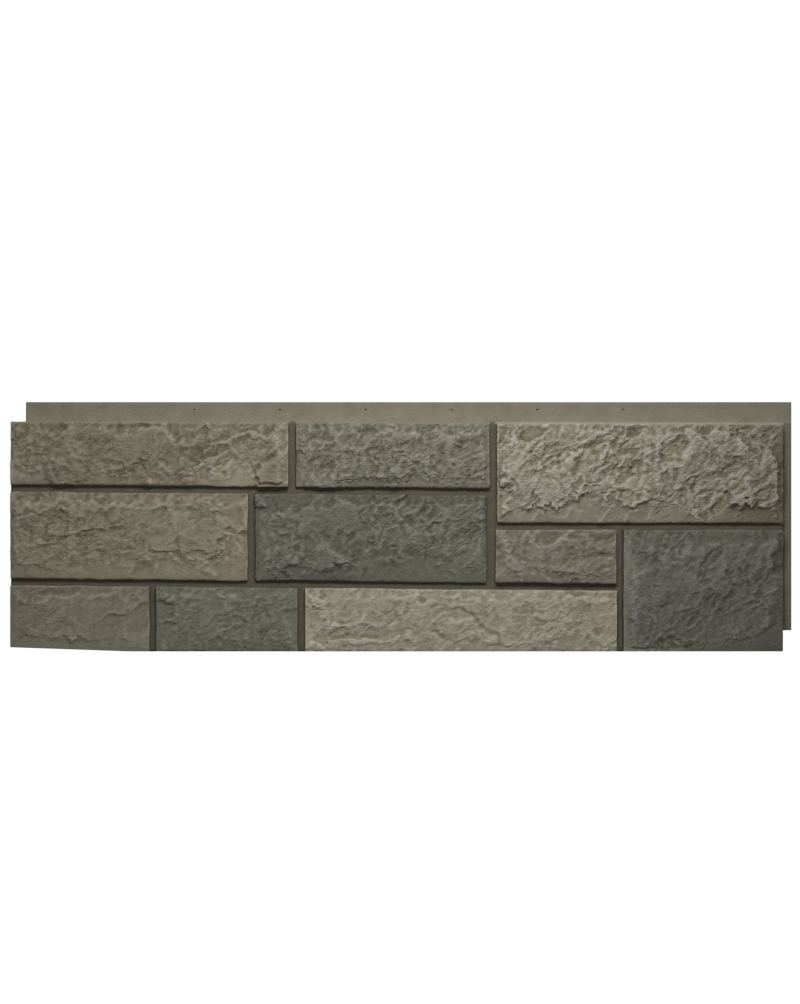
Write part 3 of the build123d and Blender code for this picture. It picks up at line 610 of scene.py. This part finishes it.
def cellsFrom(vert, column, row):
    return max(abs(vert[columnLayer] - column), abs(vert[rowLayer] - row))


# new walls along some edges: all their new edges and points
def extruded(edges):
    new = bmesh.ops.extrude_edge_only(bm, edges=edges)["geom"]
    kinds = bmesh.types.BMEdge, bmesh.types.BMVert
    return ([part for part in new if isinstance(part, kind)] for kind in kinds)


# nail marks: round holes let into the flange, each with a shallow cone at its bottom
nailPlaces = []
for name in ("nail_marks_inner", "nail_marks_middle", "nail_marks_outer"):
    middle, apart = mounts[name]["pos_m"][0] / mm - low.x, mounts[name]["dims"]["spacing_x_mm"]
    nailPlaces += [middle - apart / 2, middle + apart / 2]
for nailX in nailPlaces:
    column, row = columnAt(nailX), int(np.argmin(abs(rows[:, 0] - nailY)))
    block = [f for f in bm.faces if all(cellsFrom(v, column, row) <= nailForm["cells"] for v in f.verts)]
    rim = [e for f in block for e in f.edges if any(g not in block for g in e.link_faces)]
    bmesh.ops.delete(bm, geom=block, context="FACES")
    ring = bmesh.ops.create_circle(bm, segments=nailForm["sides"], radius=nailForm["radius"])["verts"]
    for vert in ring:
        vert[columnLayer] = vert[rowLayer] = -1
    bmesh.ops.translate(bm, vec=(nailX, nailY, flangeLevel), verts=ring)
    mouth = list(dict.fromkeys(e for v in ring for e in v.link_edges))
    bmesh.ops.triangle_fill(bm, use_beauty=True, edges=rim + mouth, normal=(0, 0, 1))
    wall, bottom = extruded(mouth)
    bmesh.ops.translate(bm, vec=(0, 0, -nailForm["depth"]), verts=bottom)
    _, tip = extruded(wall)
    tipLevel = flangeLevel - nailForm["depth"] - nailForm["point"]
    bmesh.ops.pointmerge(bm, verts=tip, merge_co=(nailX, nailY, tipLevel))
print("nail marks", len(nailPlaces))

# the back: the laps' undersides close the stones' outer feet, then the core goes down to the wall
edgeOfSheet = [e for e in bm.edges if e.is_boundary]


def onLap(vert):
    column, row = vert[columnLayer], vert[rowLayer]
    leftOrFoot = column == 0 or row == 0
    topLeft = row == topRow and column <= lapColumn
    footRight = column == faceColumn and row <= lapRow
    return leftOrFoot or topLeft or footRight


lapEdges = [e for e in edgeOfSheet if all(onLap(v) for v in e.verts)]
coreEdges = [e for e in edgeOfSheet if not all(onLap(v) for v in e.verts)]
coreVerts = {v for e in coreEdges for v in e.verts}
lapEnds = [v for v in dict.fromkeys(v for e in lapEdges for v in e.verts) if v in coreVerts]
corner = bm.verts.new((lapLeft, lapFoot, lapLevel))
corner[columnLayer] = corner[rowLayer] = -1
newEdges = [bm.edges.new((end, corner)) for end in lapEnds]
bmesh.ops.contextual_create(bm, geom=lapEdges + newEdges)
backEdges, backVerts = extruded(coreEdges + newEdges)
for vert in backVerts:
    vert.co.z = 0.0
    vert[columnLayer] = vert[rowLayer] = -1
bmesh.ops.contextual_create(bm, geom=backEdges)
bmesh.ops.recalc_face_normals(bm, faces=bm.faces)
for face in bm.faces:
    small = len(face.verts) <= 4
    onSheet = small and all(v[columnLayer] >= 0 for v in face.verts)
    middle = face.calc_center_median()
    toNail = min((middle.xy - Vector((x, nailY))).length for x in nailPlaces)
    atNail = small and middle.z > lapLevel - nailForm["below"] and toNail < nailForm["around"]
    face.material_index = 0 if onSheet or atNail else 1
    face.smooth = onSheet or atNail
mesh = bpy.data.meshes.new("stone_panel_face")
bm.to_mesh(mesh)
bm.free()
panel = bpy.data.objects.new("stone_panel_face", mesh)
bpy.context.collection.objects.link(panel)
print("closed body", len(mesh.vertices), "points")

count = len(mesh.vertices)
places = np.empty(count * 3)
mesh.vertices.foreach_get("co", places)
places = places.reshape(-1, 3)
column, row = np.empty(count, int), np.empty(count, int)
mesh.attributes["column"].data.foreach_get("value", column)
mesh.attributes["row"].data.foreach_get("value", row)
sheet = column >= 0
x, y = places[:, 0].copy(), places[:, 1].copy()
z = places[:, 2].copy()
tint = np.tile(np.array(sRGB(*coats["foam"])), (count, 1))
tint[sheet] = sRGB(*coats["flange"])
# painted light on the flange, brighter next to the stones and darker at its outer edge
tint[sheet] *= np.interp(y[sheet], (faceHeight, height), coats["flangePaintedLight"])[:, None]
# what the coat reads: high and low spots, scars, strength of the fine grain and its own turned places
relief, scar, grain = np.zeros(count), np.zeros(count), np.zeros(count)
veins = places * np.array([1.0, 1.0, 0.0])
onStone = np.zeros(count, bool)
nailVerts = ~sheet & (z > lapLevel - nailForm["below"]) & (y > faceHeight)
nailVerts &= np.min([np.hypot(x - at, y - nailY) for at in nailPlaces], 0) < 1.5 * nailForm["radius"]
tint[nailVerts] = sRGB(*coats["flange"])
# painted shade inside the nail marks
tint[nailVerts & (z < flangeLevel - 1)] *= coats["nailMarkShade"]
shiftX, shiftY = np.zeros(count), np.zeros(count)


def lineAt(course, x):
    left, right = courses[course]
    return left + (right - left) * np.minimum(x / faceLength, 1)


# mortar bed between the stones, with sand in it and a shallow dip along each joint
inFace = sheet & (x <= faceLength + 0.01) & (y <= lineAt("top", x) + 0.01)
bed = inFace & (x > outerInset - 0.1) & (x < faceLength - outerInset + 0.1) & (row > 0)
bed &= y < lineAt("top", x) - outerInset + 0.1
z[bed] = bedLevel
sand = sum(share * swell(x, y, wave, 5 + k) for k, (wave, share) in enumerate(mortarForm["grains"]))
z[bed] += mortarForm["sand"] * sand[bed] - mortarForm["dip"]
tint[inFace] = sRGB(*coats["mortar"])
z[inFace & ((column == 0) | (row == 0))] = lapLevel
z[inFace & (column == faceColumn) & (row < lapRow)] = lapLevel
z[inFace & (row == topRow) & (column < lapColumn)] = lapLevel

# painted shade along the feet of the stones in the upright joints, and at the bed's ends where it stops
# short of the stones' ends, painted shade of the recess there
for key, (lower, upper, *shares) in jointCornerShade.items():
    between = inFace & (y > lineAt(lower, x) + halfCourse) & (y < lineAt(upper, x) - halfCourse)
    for side, share in zip((-1, 1), shares):
        tint[between & (abs(x - uprights[key] - side * (halfHead + bedRise)) < 0.1)] *= share
tint[inFace & ((column <= 1) | (row <= 1))] *= coats["bedEndShade"]
shiftX[inFace & (column == 1)] = panelForm["bedSetback"] - outerInset
shiftY[inFace & (row == 1)] = panelForm["bedSetback"] - outerInset


# point of a stone's face, as shares of its length and height
def faceAt(stone, gaps, along, up):
    left, right = stone["ends"]
    x = left + gaps[0] + along * (right - gaps[1] - left - gaps[0])
    lower, upper = (lineAt(course, x) for course in stone["between"])
    return x, lower + gaps[2] + up * (upper - gaps[3] - lower - gaps[2])


# crown of a stone: planes that fall from its peak to its sides
def crownAt(stone, peak, x, y):
    left, right, foot, head = stone["falls"]
    peakX, peakY = peak
    falls = (peakX - x) * left, (x - peakX) * right, (peakY - y) * foot, (y - peakY) * head
    return thickness - stone["crown"][2] - np.maximum.reduce(falls)


# rock broken to several sizes, in mm over the crown
def brokenRock(stone, px, py, wx, wy, patches):
    seed, stretch, turn = stone["seed"], stone["stretch"], stone["turn"]
    rock = np.zeros(px.shape)
    for part, (key, sign) in enumerate((("blocks", 1), ("chips", 1), ("lumps", -1))):
        size, tall, hollow = rockForm[key]
        layer = breaks(wx, wy, size, hollow, stretch, turn + 8 * part, seed + part)
        rock += sign * tall * (layer - layer.mean()) * (patches if part else 1)
    wave, thick, steps = rockForm["flakes"]
    rock += thick * flakes(wx, wy, wave, steps, stretch, turn + 20, seed + 31) * patches
    wave, strength = rockForm["swells"]
    rock += strength * swell(px, py, wave, seed + 3)
    wave, strength = rockForm["grains"]
    rock += strength * (swell(wx, wy, wave, seed + 4) + 0.6 * swell(wx, wy, wave * 0.6, seed + 5))
    return (rock - rockForm["sunk"]) * stone["relief"]


# pitched sides: each scar runs from the edge of the stone to the border of its reach. For the left, right,
# foot and head: its drop under the crown, how far up it a point is, its share of the relief
def pitchedSides(stone, px, py, inward, plain):
    seed = stone["seed"]
    longWave, shortWave, ragged = rockForm["ragged"]
    uneven = swell(px, py, longWave, seed + 12) + 0.6 * swell(px, py, shortWave, seed + 13)
    uneven = 1 + ragged * uneven
    wave, shaken = rockForm["shaken"]
    kinds = {"left": "endScars", "right": "endScars", "foot": "footScars", "head": "headScars"}
    sides = []
    for (side, kind), toEdge in zip(kinds.items(), inward):
        bends, reaches = zip(*stone[side])
        place = (py if kind == "endScars" else px) + shaken * swell(px, py, wave, seed + 14)
        scarReach = np.interp(place, bends, reaches) * uneven
        share, slope = rockForm[kind]
        drop = np.minimum(plain - edgeLevel, slope * scarReach) * stone.get("pitch", 1.0)
        rise = toEdge / scarReach
        sides.append((drop * (1 - rise), rise, share))
    return sides


for stone in stones.values():
    left, right = stone["ends"]
    lower, upper = (lineAt(course, x) for course in stone["between"])
    gaps = [
        halfHead if left > 0 else 0.0,
        halfHead if right < faceLength else 0.0,
        halfCourse if stone["between"][0] != "foot" else 0.0,
        halfCourse if stone["between"][1] != "top" else 0.0,
    ]
    reach = [x - left, right - x, y - lower, upper - y]
    toFoot = np.minimum.reduce([r - g - (bedRise if g else 0.0) for r, g in zip(reach, gaps)])
    toRim = np.minimum.reduce([r - g - outerInset for r, g in zip(reach, gaps)])
    own = sheet & (toFoot > -0.05)
    top = sheet & (toRim > -0.05)
    shiftX[own & (column <= 1)] = 0.0
    shiftY[own & (row <= 1)] = 0.0
    px, py = x[top], y[top]
    inward = [r[top] - g - outerInset for r, g in zip(reach, gaps)]
    seed = stone["seed"]

    # crown planes, with shells broken off them and rock on them
    peak = faceAt(stone, gaps, *stone["crown"][:2])
    plain = crownAt(stone, peak, px, py)
    crown = plain
    (shortWave, shortWarp), (longWave, longWarp) = rockForm["warp"]
    wx = px + shortWarp * swell(px, py, shortWave, seed + 7) + longWarp * swell(px, py, longWave, seed + 8)
    wy = py + shortWarp * swell(px, py, shortWave, seed + 9) + longWarp * swell(px, py, longWave, seed + 10)
    for along, up, width, depth in stone["shells"]:
        shellX, shellY = faceAt(stone, gaps, along, up)
        ring = np.hypot(wx - shellX, wy - shellY) / (width / 2)
        crown = np.minimum(crown, crownAt(stone, peak, shellX, shellY) - depth * (1 - ring * ring))
    wave, strength = rockForm["patches"]
    patches = swell(px, py, wave, seed + 21) + 0.6 * swell(px, py, wave / 2.3, seed + 22)
    patches = 1 + strength * patches
    rock = brokenRock(stone, px, py, wx, wy, patches)

    # scars of the pitched sides, cut into the crown
    sides = pitchedSides(stone, px, py, inward, plain)
    drop = np.maximum.reduce([side[0] for side in sides])
    risen = np.minimum.reduce([side[1] for side in sides])
    share = np.select([side[0] == drop for side in sides], [side[2] for side in sides])
    size, tall, hollow = rockForm["facets"]
    facets = breaks(wx, wy, size, hollow, *rockForm["facetLie"], seed + 41)
    facets = tall * (facets - facets.mean()) * (1 - share) * stone.get("pitch", 1.0)
    within = smooth(0, 1, risen)
    scarLevel = rockForm["scarBorder"] * (1 - within) - rockForm["scarDepth"] * stone["relief"] * within
    scarFace = plain - drop + scarLevel + share * rock + facets * smooth(0, 0.5, risen)
    scarFace = np.where(risen < rockForm["scarEnd"], scarFace, crown + rock + 1)
    surface = np.minimum(crown + rock, scarFace)
    cut = smooth(*rockForm["scarFade"], crown + rock - scarFace) * (1 - share)

    rimRise, rimEnd, rimCut = rockForm["hollowRim"]
    for hx, hy, half, across, turn, depth, riseX, riseY in stone["hollows"]:
        dx, dy = wx - hx, wy - hy
        p, q = turned(dx, dy, turn)
        ring = np.hypot(p / half, q / across)
        nearest = np.argmin(np.hypot(px - hx, py - hy))
        floor = plain[nearest] if risen[nearest] >= 1 else surface[nearest]
        floor = floor - depth + riseX * dx + riseY * dy + rockForm["hollowRelief"] * rock
        floor = floor + rimRise * np.maximum(ring - 1, 0)
        taken = (floor < surface) & (ring < rimEnd)
        surface = np.where(taken, floor, surface)
        cut = np.where(taken, np.maximum(cut, rimCut), cut)
    for ax, ay, bx, by, width, rise in stone["strokes"]:
        run = math.hypot(bx - ax, by - ay)
        tx, ty = (bx - ax) / run, (by - ay) / run
        t = (wx - ax) * tx + (wy - ay) * ty
        across = (wy - ay) * tx - (wx - ax) * ty
        fade = smooth(*rockForm["strokeEnds"], t) * smooth(*rockForm["strokeEnds"], run - t)
        profile = np.exp(-abs(across) / width) if rise > 0 else np.exp(-((across / width) ** 2))
        surface += rockForm["strokes"] * rise * fade * profile
    # never flat where the moulding reaches its full thickness
    easeFrom, easeInto = rockForm["eased"]
    over = surface - (thickness - easeFrom)
    eased = thickness - easeFrom + easeInto * (1 - np.exp(-over / easeInto))
    surface = np.where(over > 0, eased, surface)
    footWidth, footDepth = rockForm["wornFoot"]
    surface = surface - footDepth * smooth(footWidth, 0, inward[2]) * (py > outerInset + 0.1)
    surface = np.maximum(surface, bedLevel + rockForm["overBed"])
    z[top] = surface
    outer = (column == 0) | (row == 0) | (column == faceColumn) | (row == topRow)
    z[own & ~top & ~outer] = bedLevel - mortarForm["dip"]

    # coat: shade along the stone, the scars' stain with painted shade and light, painted shade on the
    # head's scars, painted highlights along the heads, upper edges and rims, painted shade on the outer
    # sides, and a finer grain off the scars
    coat = np.array(sRGB(*stone["coat"]))
    # the scars' stain, with painted shade and light, along the stone
    stainAndShading = np.interp(px, *zip(*stone.get("stainAndShading", [(0, rockForm["scarStainAndShading"])]))) * cut
    shade = np.interp(px, *zip(*stone.get("shade", [(0, 1.0)])))
    # painted shade on the head's scars
    headPaintedShade = stone.get("headPaintedShade", rockForm["headPaintedShade"])
    shade = shade * (1 - headPaintedShade * smooth(*rockForm["headFade"], sides[3][1]))
    # a painted highlight along the head
    lipWidth, lipStrength = rockForm["headHighlight"]
    shade = shade * (1 + lipStrength * smooth(lipWidth, 0, inward[3]))
    tint[top] = coat * shade[:, None] * (1 - stainAndShading[:, None] * np.array(coats["stainAndShadingTone"]))
    tint[own & ~top & outer] = coat
    # painted highlight on the upper edges at the flange
    tint[own & ~top & (row == topRow)] = coat * rockForm["topEdgeHighlight"]
    # painted shade on the stones' outer sides at the panel's left end and foot
    tint[own & ((column == 0) | (row == 0))] = coat * coats["footEdgeShade"]
    scar[top] = cut
    onStone |= top
    # painted highlight along the rims of the ends and head, fading out towards the foot
    rimWidth, rimStrength = rockForm["rimHighlight"]
    toSide = np.minimum.reduce([inward[0], inward[1], inward[3]])
    relief[top] = rimStrength * smooth(rimWidth, 0, toSide) * smooth(0, 2 * rimWidth, inward[2])
    grain[top] = stone["relief"] * (1 - rockForm["scarGrain"] * cut) * patches
    veinX, veins[own, 1] = turned(x[own], y[own], stone["turn"])
    veins[own, 0] = veinX / math.sqrt(stone["stretch"])

    # uneven edges: each stone's outline wanders a little, the panel's own outline doesn't
    wave, strength = rockForm["wander"]
    fade = smooth(rockForm["wanderIn"], 0, np.maximum(toRim[own], 0))
    border = [x[own], faceLength - x[own], y[own], lineAt("top", x[own]) - y[own]]
    held = smooth(*rockForm["wanderHeld"], np.minimum.reduce(border))
    trims = stone.get("trim", (0, 0))
    moved = sum(smooth(rockForm["trimIn"], 0, r[own]) * trim for r, trim in zip(reach, trims))
    for axis, (shift, offset) in enumerate(((shiftX, moved), (shiftY, 0.0))):
        noise = swell(x[own], y[own], wave, seed + 61 + axis)
        noise += 0.5 * swell(x[own], y[own], wave / 3, seed + 71 + axis)
        shift[own] += strength * noise * fade * held + offset
print("stones", len(stones))

# the lower left corner is cut up towards the left
lift = panelForm["cornerLift"] * np.clip(1 - x / cutEnd, 0, 1)
shiftY += np.where(sheet, lift * np.clip(1 - y / panelForm["cornerRise"], 0, 1), 0)

# flange: sanded lightly by the mould, with its outer edges rounded
onFlange = sheet & ~inFace
wave, strength = panelForm["flangeSwell"]
z[onFlange] += strength * swell(x, y, wave, 81)[onFlange]
# painted shade on the end flange beside the stones
tint[onFlange & (x > faceLength + 0.5) & (y < faceHeight)] *= coats["endFlange"]
outerEdge = (column == lastColumn) | (row == lastRow) | ((column == lapColumn) & (row > topRow))
outerEdge &= onFlange
z[outerEdge] = flangeLevel - rounded * panelForm["roundedDrop"]
# painted shade on the rounded outer edges
tint[outerEdge] *= coats["flangeEdgeShade"]

places[:, 0] = np.where(sheet, np.clip(x + shiftX, 0, length), x)
places[:, 1] = np.where(sheet, np.clip(y + shiftY, 0, height), y)
places[:, 2] = z

# high and low spots of the stones, paler and darker in the coat, partly its two tones and partly painted
# light on the ridges
# and painted shade in the hollows: rounds of levelling between a spot and its surroundings, height in mm of
# a full spot and its strength
wearAndShadeForm = {
    "small": (6, 0.9, 0.7),
    "broad": (30, 2.2, 0.24),
}
heights = np.zeros((2, lastColumn + 1, lastRow + 1))
heights[0, column[onStone], row[onStone]] = z[onStone]
heights[1, column[onStone], row[onStone]] = 1.0


def levelled(rounds):
    spread = heights
    for _ in range(rounds):
        for axis in (1, 2):
            spread = (np.roll(spread, 1, axis) + np.roll(spread, -1, axis) + 2 * spread) / 4
    return spread[0] / np.maximum(spread[1], 0.01)


spots, level = 0, heights[0]
for rounds, tall, strength in wearAndShadeForm.values():
    lower = levelled(rounds)
    spots = spots + np.clip((level - lower) / tall, -1, 1) * strength
    level = lower
relief[onStone] += spots[column[onStone], row[onStone]]

places += np.array([low.x, low.y, 0])
mesh.vertices.foreach_set("co", (places * mm).ravel())
for name in ("column", "row"):
    mesh.attributes.remove(mesh.attributes[name])
colours = mesh.attributes.new("tint", "FLOAT_COLOR", "POINT")
colours.data.foreach_set("color", np.column_stack([tint, np.ones(count)]).ravel())
for name, values in (("relief", relief), ("scar", scar), ("grain", grain)):
    mesh.attributes.new(name, "FLOAT", "POINT").data.foreach_set("value", values)
mesh.attributes.new("veins", "FLOAT_VECTOR", "POINT").data.foreach_set("vector", (veins * mm).ravel())
mesh.update()
mesh.set_sharp_from_angle(angle=math.radians(panelForm["sharpAngle"]))
print("relief set")

coatLook = {
    "cloud": (7.0, 0.12),  # waves per metre and strength of broad colour changes
    "mottle": (55.0, 0.20),
    "speck": (420.0, 0.22),
    "highSpots": 0.52,  # how much paler ridges are
    "lowSpots": 0.46,  # how much darker hollows are
    "greyer": 0.25,  # how much greyer than hollows ridges are
    "grain": (300.0, 1.8),  # waves per metre and depth in mm of the stones' fine surface
    "pits": (150.0, 2.8),
    "skin": (300.0, 0.9),  # and of the coat itself
    "gloss": 0.18,
    "roughness": (0.72, 0.95),  # least and greatest
    "roughWaves": 90.0,
    "scarRoughness": -0.06,  # how much rougher the scars are, and smoother below 0
    "bump": (0.9, 0.001),  # share of the fine surface that shows, and its unit in metres
}
foamLook = {
    "dark": (158, 142, 112),
    "light": (186, 172, 142),
    "darkTo": 0.35,
    "lightFrom": 0.7,
    "clouds": 9.0,  # waves per metre of the two colours
    "cells": 300.0,  # and of the foam's cells
    "gloss": 0.25,
    "roughness": 0.85,
    "bump": (0.5, 0.0004),
}


# new material with its nodes, links and shader
def paint(name, gloss):
    material = bpy.data.materials.new(name)
    material.use_nodes = True
    nodes, links = material.node_tree.nodes, material.node_tree.links
    shader = nodes["Principled BSDF"]
    shader.inputs["Specular IOR Level"].default_value = gloss
    return material, nodes, links, shader


def noiseNode(nodes, links, at, scale, detail, rough=0.5):
    node = nodes.new("ShaderNodeTexNoise")
    node.inputs["Scale"].default_value = scale
    node.inputs["Detail"].default_value = detail
    node.inputs["Roughness"].default_value = rough
    links.new(at, node.inputs["Vector"])
    return node.outputs["Fac"]


def bumpNode(nodes, links, shader, surface, look):
    node = nodes.new("ShaderNodeBump")
    node.inputs["Strength"].default_value, node.inputs["Distance"].default_value = look["bump"]
    links.new(surface, node.inputs["Height"])
    links.new(node.outputs["Normal"], shader.inputs["Normal"])


def coatMaterial(name, look):
    material, nodes, links, shader = paint(name, look["gloss"])
    place = nodes.new("ShaderNodeTexCoord").outputs["Object"]

    def noise(scale, detail, rough, at=place):
        return noiseNode(nodes, links, at, scale, detail, rough)

    def worked(kind, a, b, c=None):
        node = nodes.new("ShaderNodeMath")
        node.operation = kind
        for socket, value in zip(node.inputs, (a, b, c)):
            if isinstance(value, (int, float)):
                socket.default_value = value
            elif value is not None:
                links.new(value, socket)
        return node.outputs["Value"]

    def attribute(called, output):
        node = nodes.new("ShaderNodeAttribute")
        node.attribute_name = called
        return node.outputs[output]

    tone = 1.0
    for key, detail in (("cloud", 2), ("mottle", 3), ("speck", 2)):
        scale, strength = look[key]
        change = worked("SUBTRACT", noise(scale, detail, 0.55), 0.5)
        tone = worked("MULTIPLY_ADD", change, strength * 2, tone)
    high = attribute("relief", "Fac")
    up = worked("MAXIMUM", high, 0.0)
    down = worked("MINIMUM", high, 0.0)
    tone = worked("MULTIPLY_ADD", up, look["highSpots"], tone)
    tone = worked("MULTIPLY_ADD", down, look["lowSpots"], tone)
    # paler spots are greyer and darker ones browner
    cool = worked("MULTIPLY", tone, worked("MULTIPLY_ADD", tone, look["greyer"], 1 - look["greyer"]))
    tones = nodes.new("ShaderNodeCombineXYZ")
    for part, axis in ((tone, "X"), (tone, "Y"), (cool, "Z")):
        links.new(part, tones.inputs[axis])
    scaled = nodes.new("ShaderNodeVectorMath")
    scaled.operation = "MULTIPLY"
    links.new(attribute("tint", "Color"), scaled.inputs[0])
    links.new(tones.outputs["Vector"], scaled.inputs[1])
    links.new(scaled.outputs["Vector"], shader.inputs["Base Color"])

    lowRough, highRough = look["roughness"]
    rough = worked("MULTIPLY_ADD", noise(look["roughWaves"], 3, 0.6), highRough - lowRough, lowRough)
    rough = worked("MULTIPLY_ADD", attribute("scar", "Fac"), look["scarRoughness"], rough)
    links.new(rough, shader.inputs["Roughness"])

    veins = attribute("veins", "Vector")
    grainScale, grainDepth = look["grain"]
    pitScale, pitDepth = look["pits"]
    skinScale, skinDepth = look["skin"]
    surface = worked("MULTIPLY", noise(grainScale, 3, 0.6, veins), grainDepth)
    surface = worked("MULTIPLY_ADD", noise(pitScale, 2, 0.5, veins), pitDepth, surface)
    surface = worked("MULTIPLY", surface, attribute("grain", "Fac"))
    surface = worked("MULTIPLY_ADD", noise(skinScale, 3, 0.6), skinDepth, surface)
    bumpNode(nodes, links, shader, surface, look)
    return material


def foamMaterial(name, look):
    material, nodes, links, shader = paint(name, look["gloss"])
    shader.inputs["Roughness"].default_value = look["roughness"]
    place = nodes.new("ShaderNodeTexCoord").outputs["Object"]
    ramp = nodes.new("ShaderNodeValToRGB")
    dark, light = ramp.color_ramp.elements
    dark.position, light.position = look["darkTo"], look["lightFrom"]
    dark.color, light.color = (*sRGB(*look["dark"]), 1), (*sRGB(*look["light"]), 1)
    links.new(noiseNode(nodes, links, place, look["clouds"], 3), ramp.inputs["Fac"])
    links.new(ramp.outputs["Color"], shader.inputs["Base Color"])
    bumpNode(nodes, links, shader, noiseNode(nodes, links, place, look["cells"], 4), look)
    return material


mesh.materials.append(coatMaterial("stoneCoat", coatLook))
mesh.materials.append(foamMaterial("bareFoam", foamLook))
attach(panel, "root")
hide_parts("stone_panel")
print("coat and foam")

# studio: pale floor, one broad lamp from beyond the top edge, soft light all round
studio = {
    "imageWidth": 800,
    "imageHeight": 1004,
    "leftInImage": 11.0,  # the panel's outline in the image, in pixels
    "rightInImage": 791.5,
    "middleInImage": 526.7,
    "cameraHeight": 3.0,  # here and below in metres
    "cameraReach": 20.0,
    "sensor": 36.0,  # in mm
    "keyPower": 16.0,
    "keyPlace": (0.05, 0.97, 1.01),
    "keyAim": (-0.03, 0.0, 0.0),
    "keySize": (0.6, 0.45),
    "ambient": 0.215,
    "floorHalf": 6.0,
    "floorDrop": 0.0002,  # keeps the floor off the panel's flat back
    "floorPaint": (0.9, 0.9, 0.9),
    "floorRoughness": 0.9,
    "floorGloss": 0.1,
    "floorWhite": 1.5,
    "shadowShare": 0.35,  # how much of the shadows the floor shows
}
perPixel = length * mm / (studio["rightInImage"] - studio["leftInImage"])
camera = bpy.data.objects.new("camera", bpy.data.cameras.new("camera"))
camera.data.sensor_fit = "HORIZONTAL"
camera.data.sensor_width = studio["sensor"]
distance = studio["cameraHeight"] - lapLevel * mm
camera.data.lens = studio["sensor"] * distance / (perPixel * studio["imageWidth"])
offX = (studio["imageWidth"] - studio["leftInImage"] - studio["rightInImage"]) / 2 * perPixel
offY = (studio["middleInImage"] - studio["imageHeight"] / 2) * perPixel
camera.location = (offX, offY, studio["cameraHeight"])
camera.data.clip_end = studio["cameraReach"]
bpy.context.collection.objects.link(camera)
bpy.context.scene.camera = camera

lamp = bpy.data.lights.new("keyLamp", "AREA")
lamp.shape = "RECTANGLE"
lamp.size, lamp.size_y = studio["keySize"]
lamp.energy = studio["keyPower"]
keyLamp = bpy.data.objects.new("keyLamp", lamp)
keyLamp.location = studio["keyPlace"]
towards = Vector(studio["keyAim"]) - Vector(studio["keyPlace"])
keyLamp.rotation_euler = towards.to_track_quat("-Z", "Y").to_euler()
bpy.context.collection.objects.link(keyLamp)


# 1 for the rays that see the white background itself: straight, in gloss or through clear things
def whiteFor(nodes, links):
    path = nodes.new("ShaderNodeLightPath")
    rays = path.outputs["Is Camera Ray"]
    for kind in ("Is Glossy Ray", "Is Transmission Ray"):
        either = nodes.new("ShaderNodeMath")
        either.operation = "MAXIMUM"
        links.new(rays, either.inputs[0])
        links.new(path.outputs[kind], either.inputs[1])
        rays = either.outputs["Value"]
    return rays


world = bpy.data.worlds.new("studioLight")
bpy.context.scene.world = world
world.use_nodes = True
worldNodes, worldLinks = world.node_tree.nodes, world.node_tree.links
background = worldNodes["Background"]
background.inputs["Color"].default_value = (1, 1, 1, 1)
background.inputs["Strength"].default_value = studio["ambient"]
plainWhite = worldNodes.new("ShaderNodeBackground")
plainWhite.inputs["Strength"].default_value = 1.0
worldMix = worldNodes.new("ShaderNodeMixShader")
worldLinks.new(whiteFor(worldNodes, worldLinks), worldMix.inputs["Fac"])
worldLinks.new(background.outputs["Background"], worldMix.inputs[1])
worldLinks.new(plainWhite.outputs["Background"], worldMix.inputs[2])
worldLinks.new(worldMix.outputs["Shader"], worldNodes["World Output"].inputs["Surface"])

floorMesh = bpy.data.meshes.new("floor")
floorBm = bmesh.new()
bmesh.ops.create_grid(floorBm, x_segments=1, y_segments=1, size=studio["floorHalf"])
bmesh.ops.translate(floorBm, vec=(0, 0, -studio["floorDrop"]), verts=floorBm.verts)
floorBm.to_mesh(floorMesh)
floorBm.free()
floor = bpy.data.objects.new("floor", floorMesh)
bpy.context.collection.objects.link(floor)
floorPaint, floorNodes, floorLinks, floorShader = paint("paleFloor", studio["floorGloss"])
floorShader.inputs["Base Color"].default_value = (*studio["floorPaint"], 1)
floorShader.inputs["Roughness"].default_value = studio["floorRoughness"]
glow = floorNodes.new("ShaderNodeEmission")
glow.inputs["Strength"].default_value = studio["floorWhite"]
share = floorNodes.new("ShaderNodeMath")
share.operation = "MULTIPLY"
share.inputs[1].default_value = 1 - studio["shadowShare"]
floorMix = floorNodes.new("ShaderNodeMixShader")
floorLinks.new(whiteFor(floorNodes, floorLinks), share.inputs[0])
floorLinks.new(share.outputs["Value"], floorMix.inputs["Fac"])
floorLinks.new(floorShader.outputs["BSDF"], floorMix.inputs[1])
floorLinks.new(glow.outputs["Emission"], floorMix.inputs[2])
floorLinks.new(floorMix.outputs["Shader"], floorNodes["Material Output"].inputs["Surface"])
floorMesh.materials.append(floorPaint)

bpy.context.scene.view_settings.view_transform = "Standard"
print("studio")
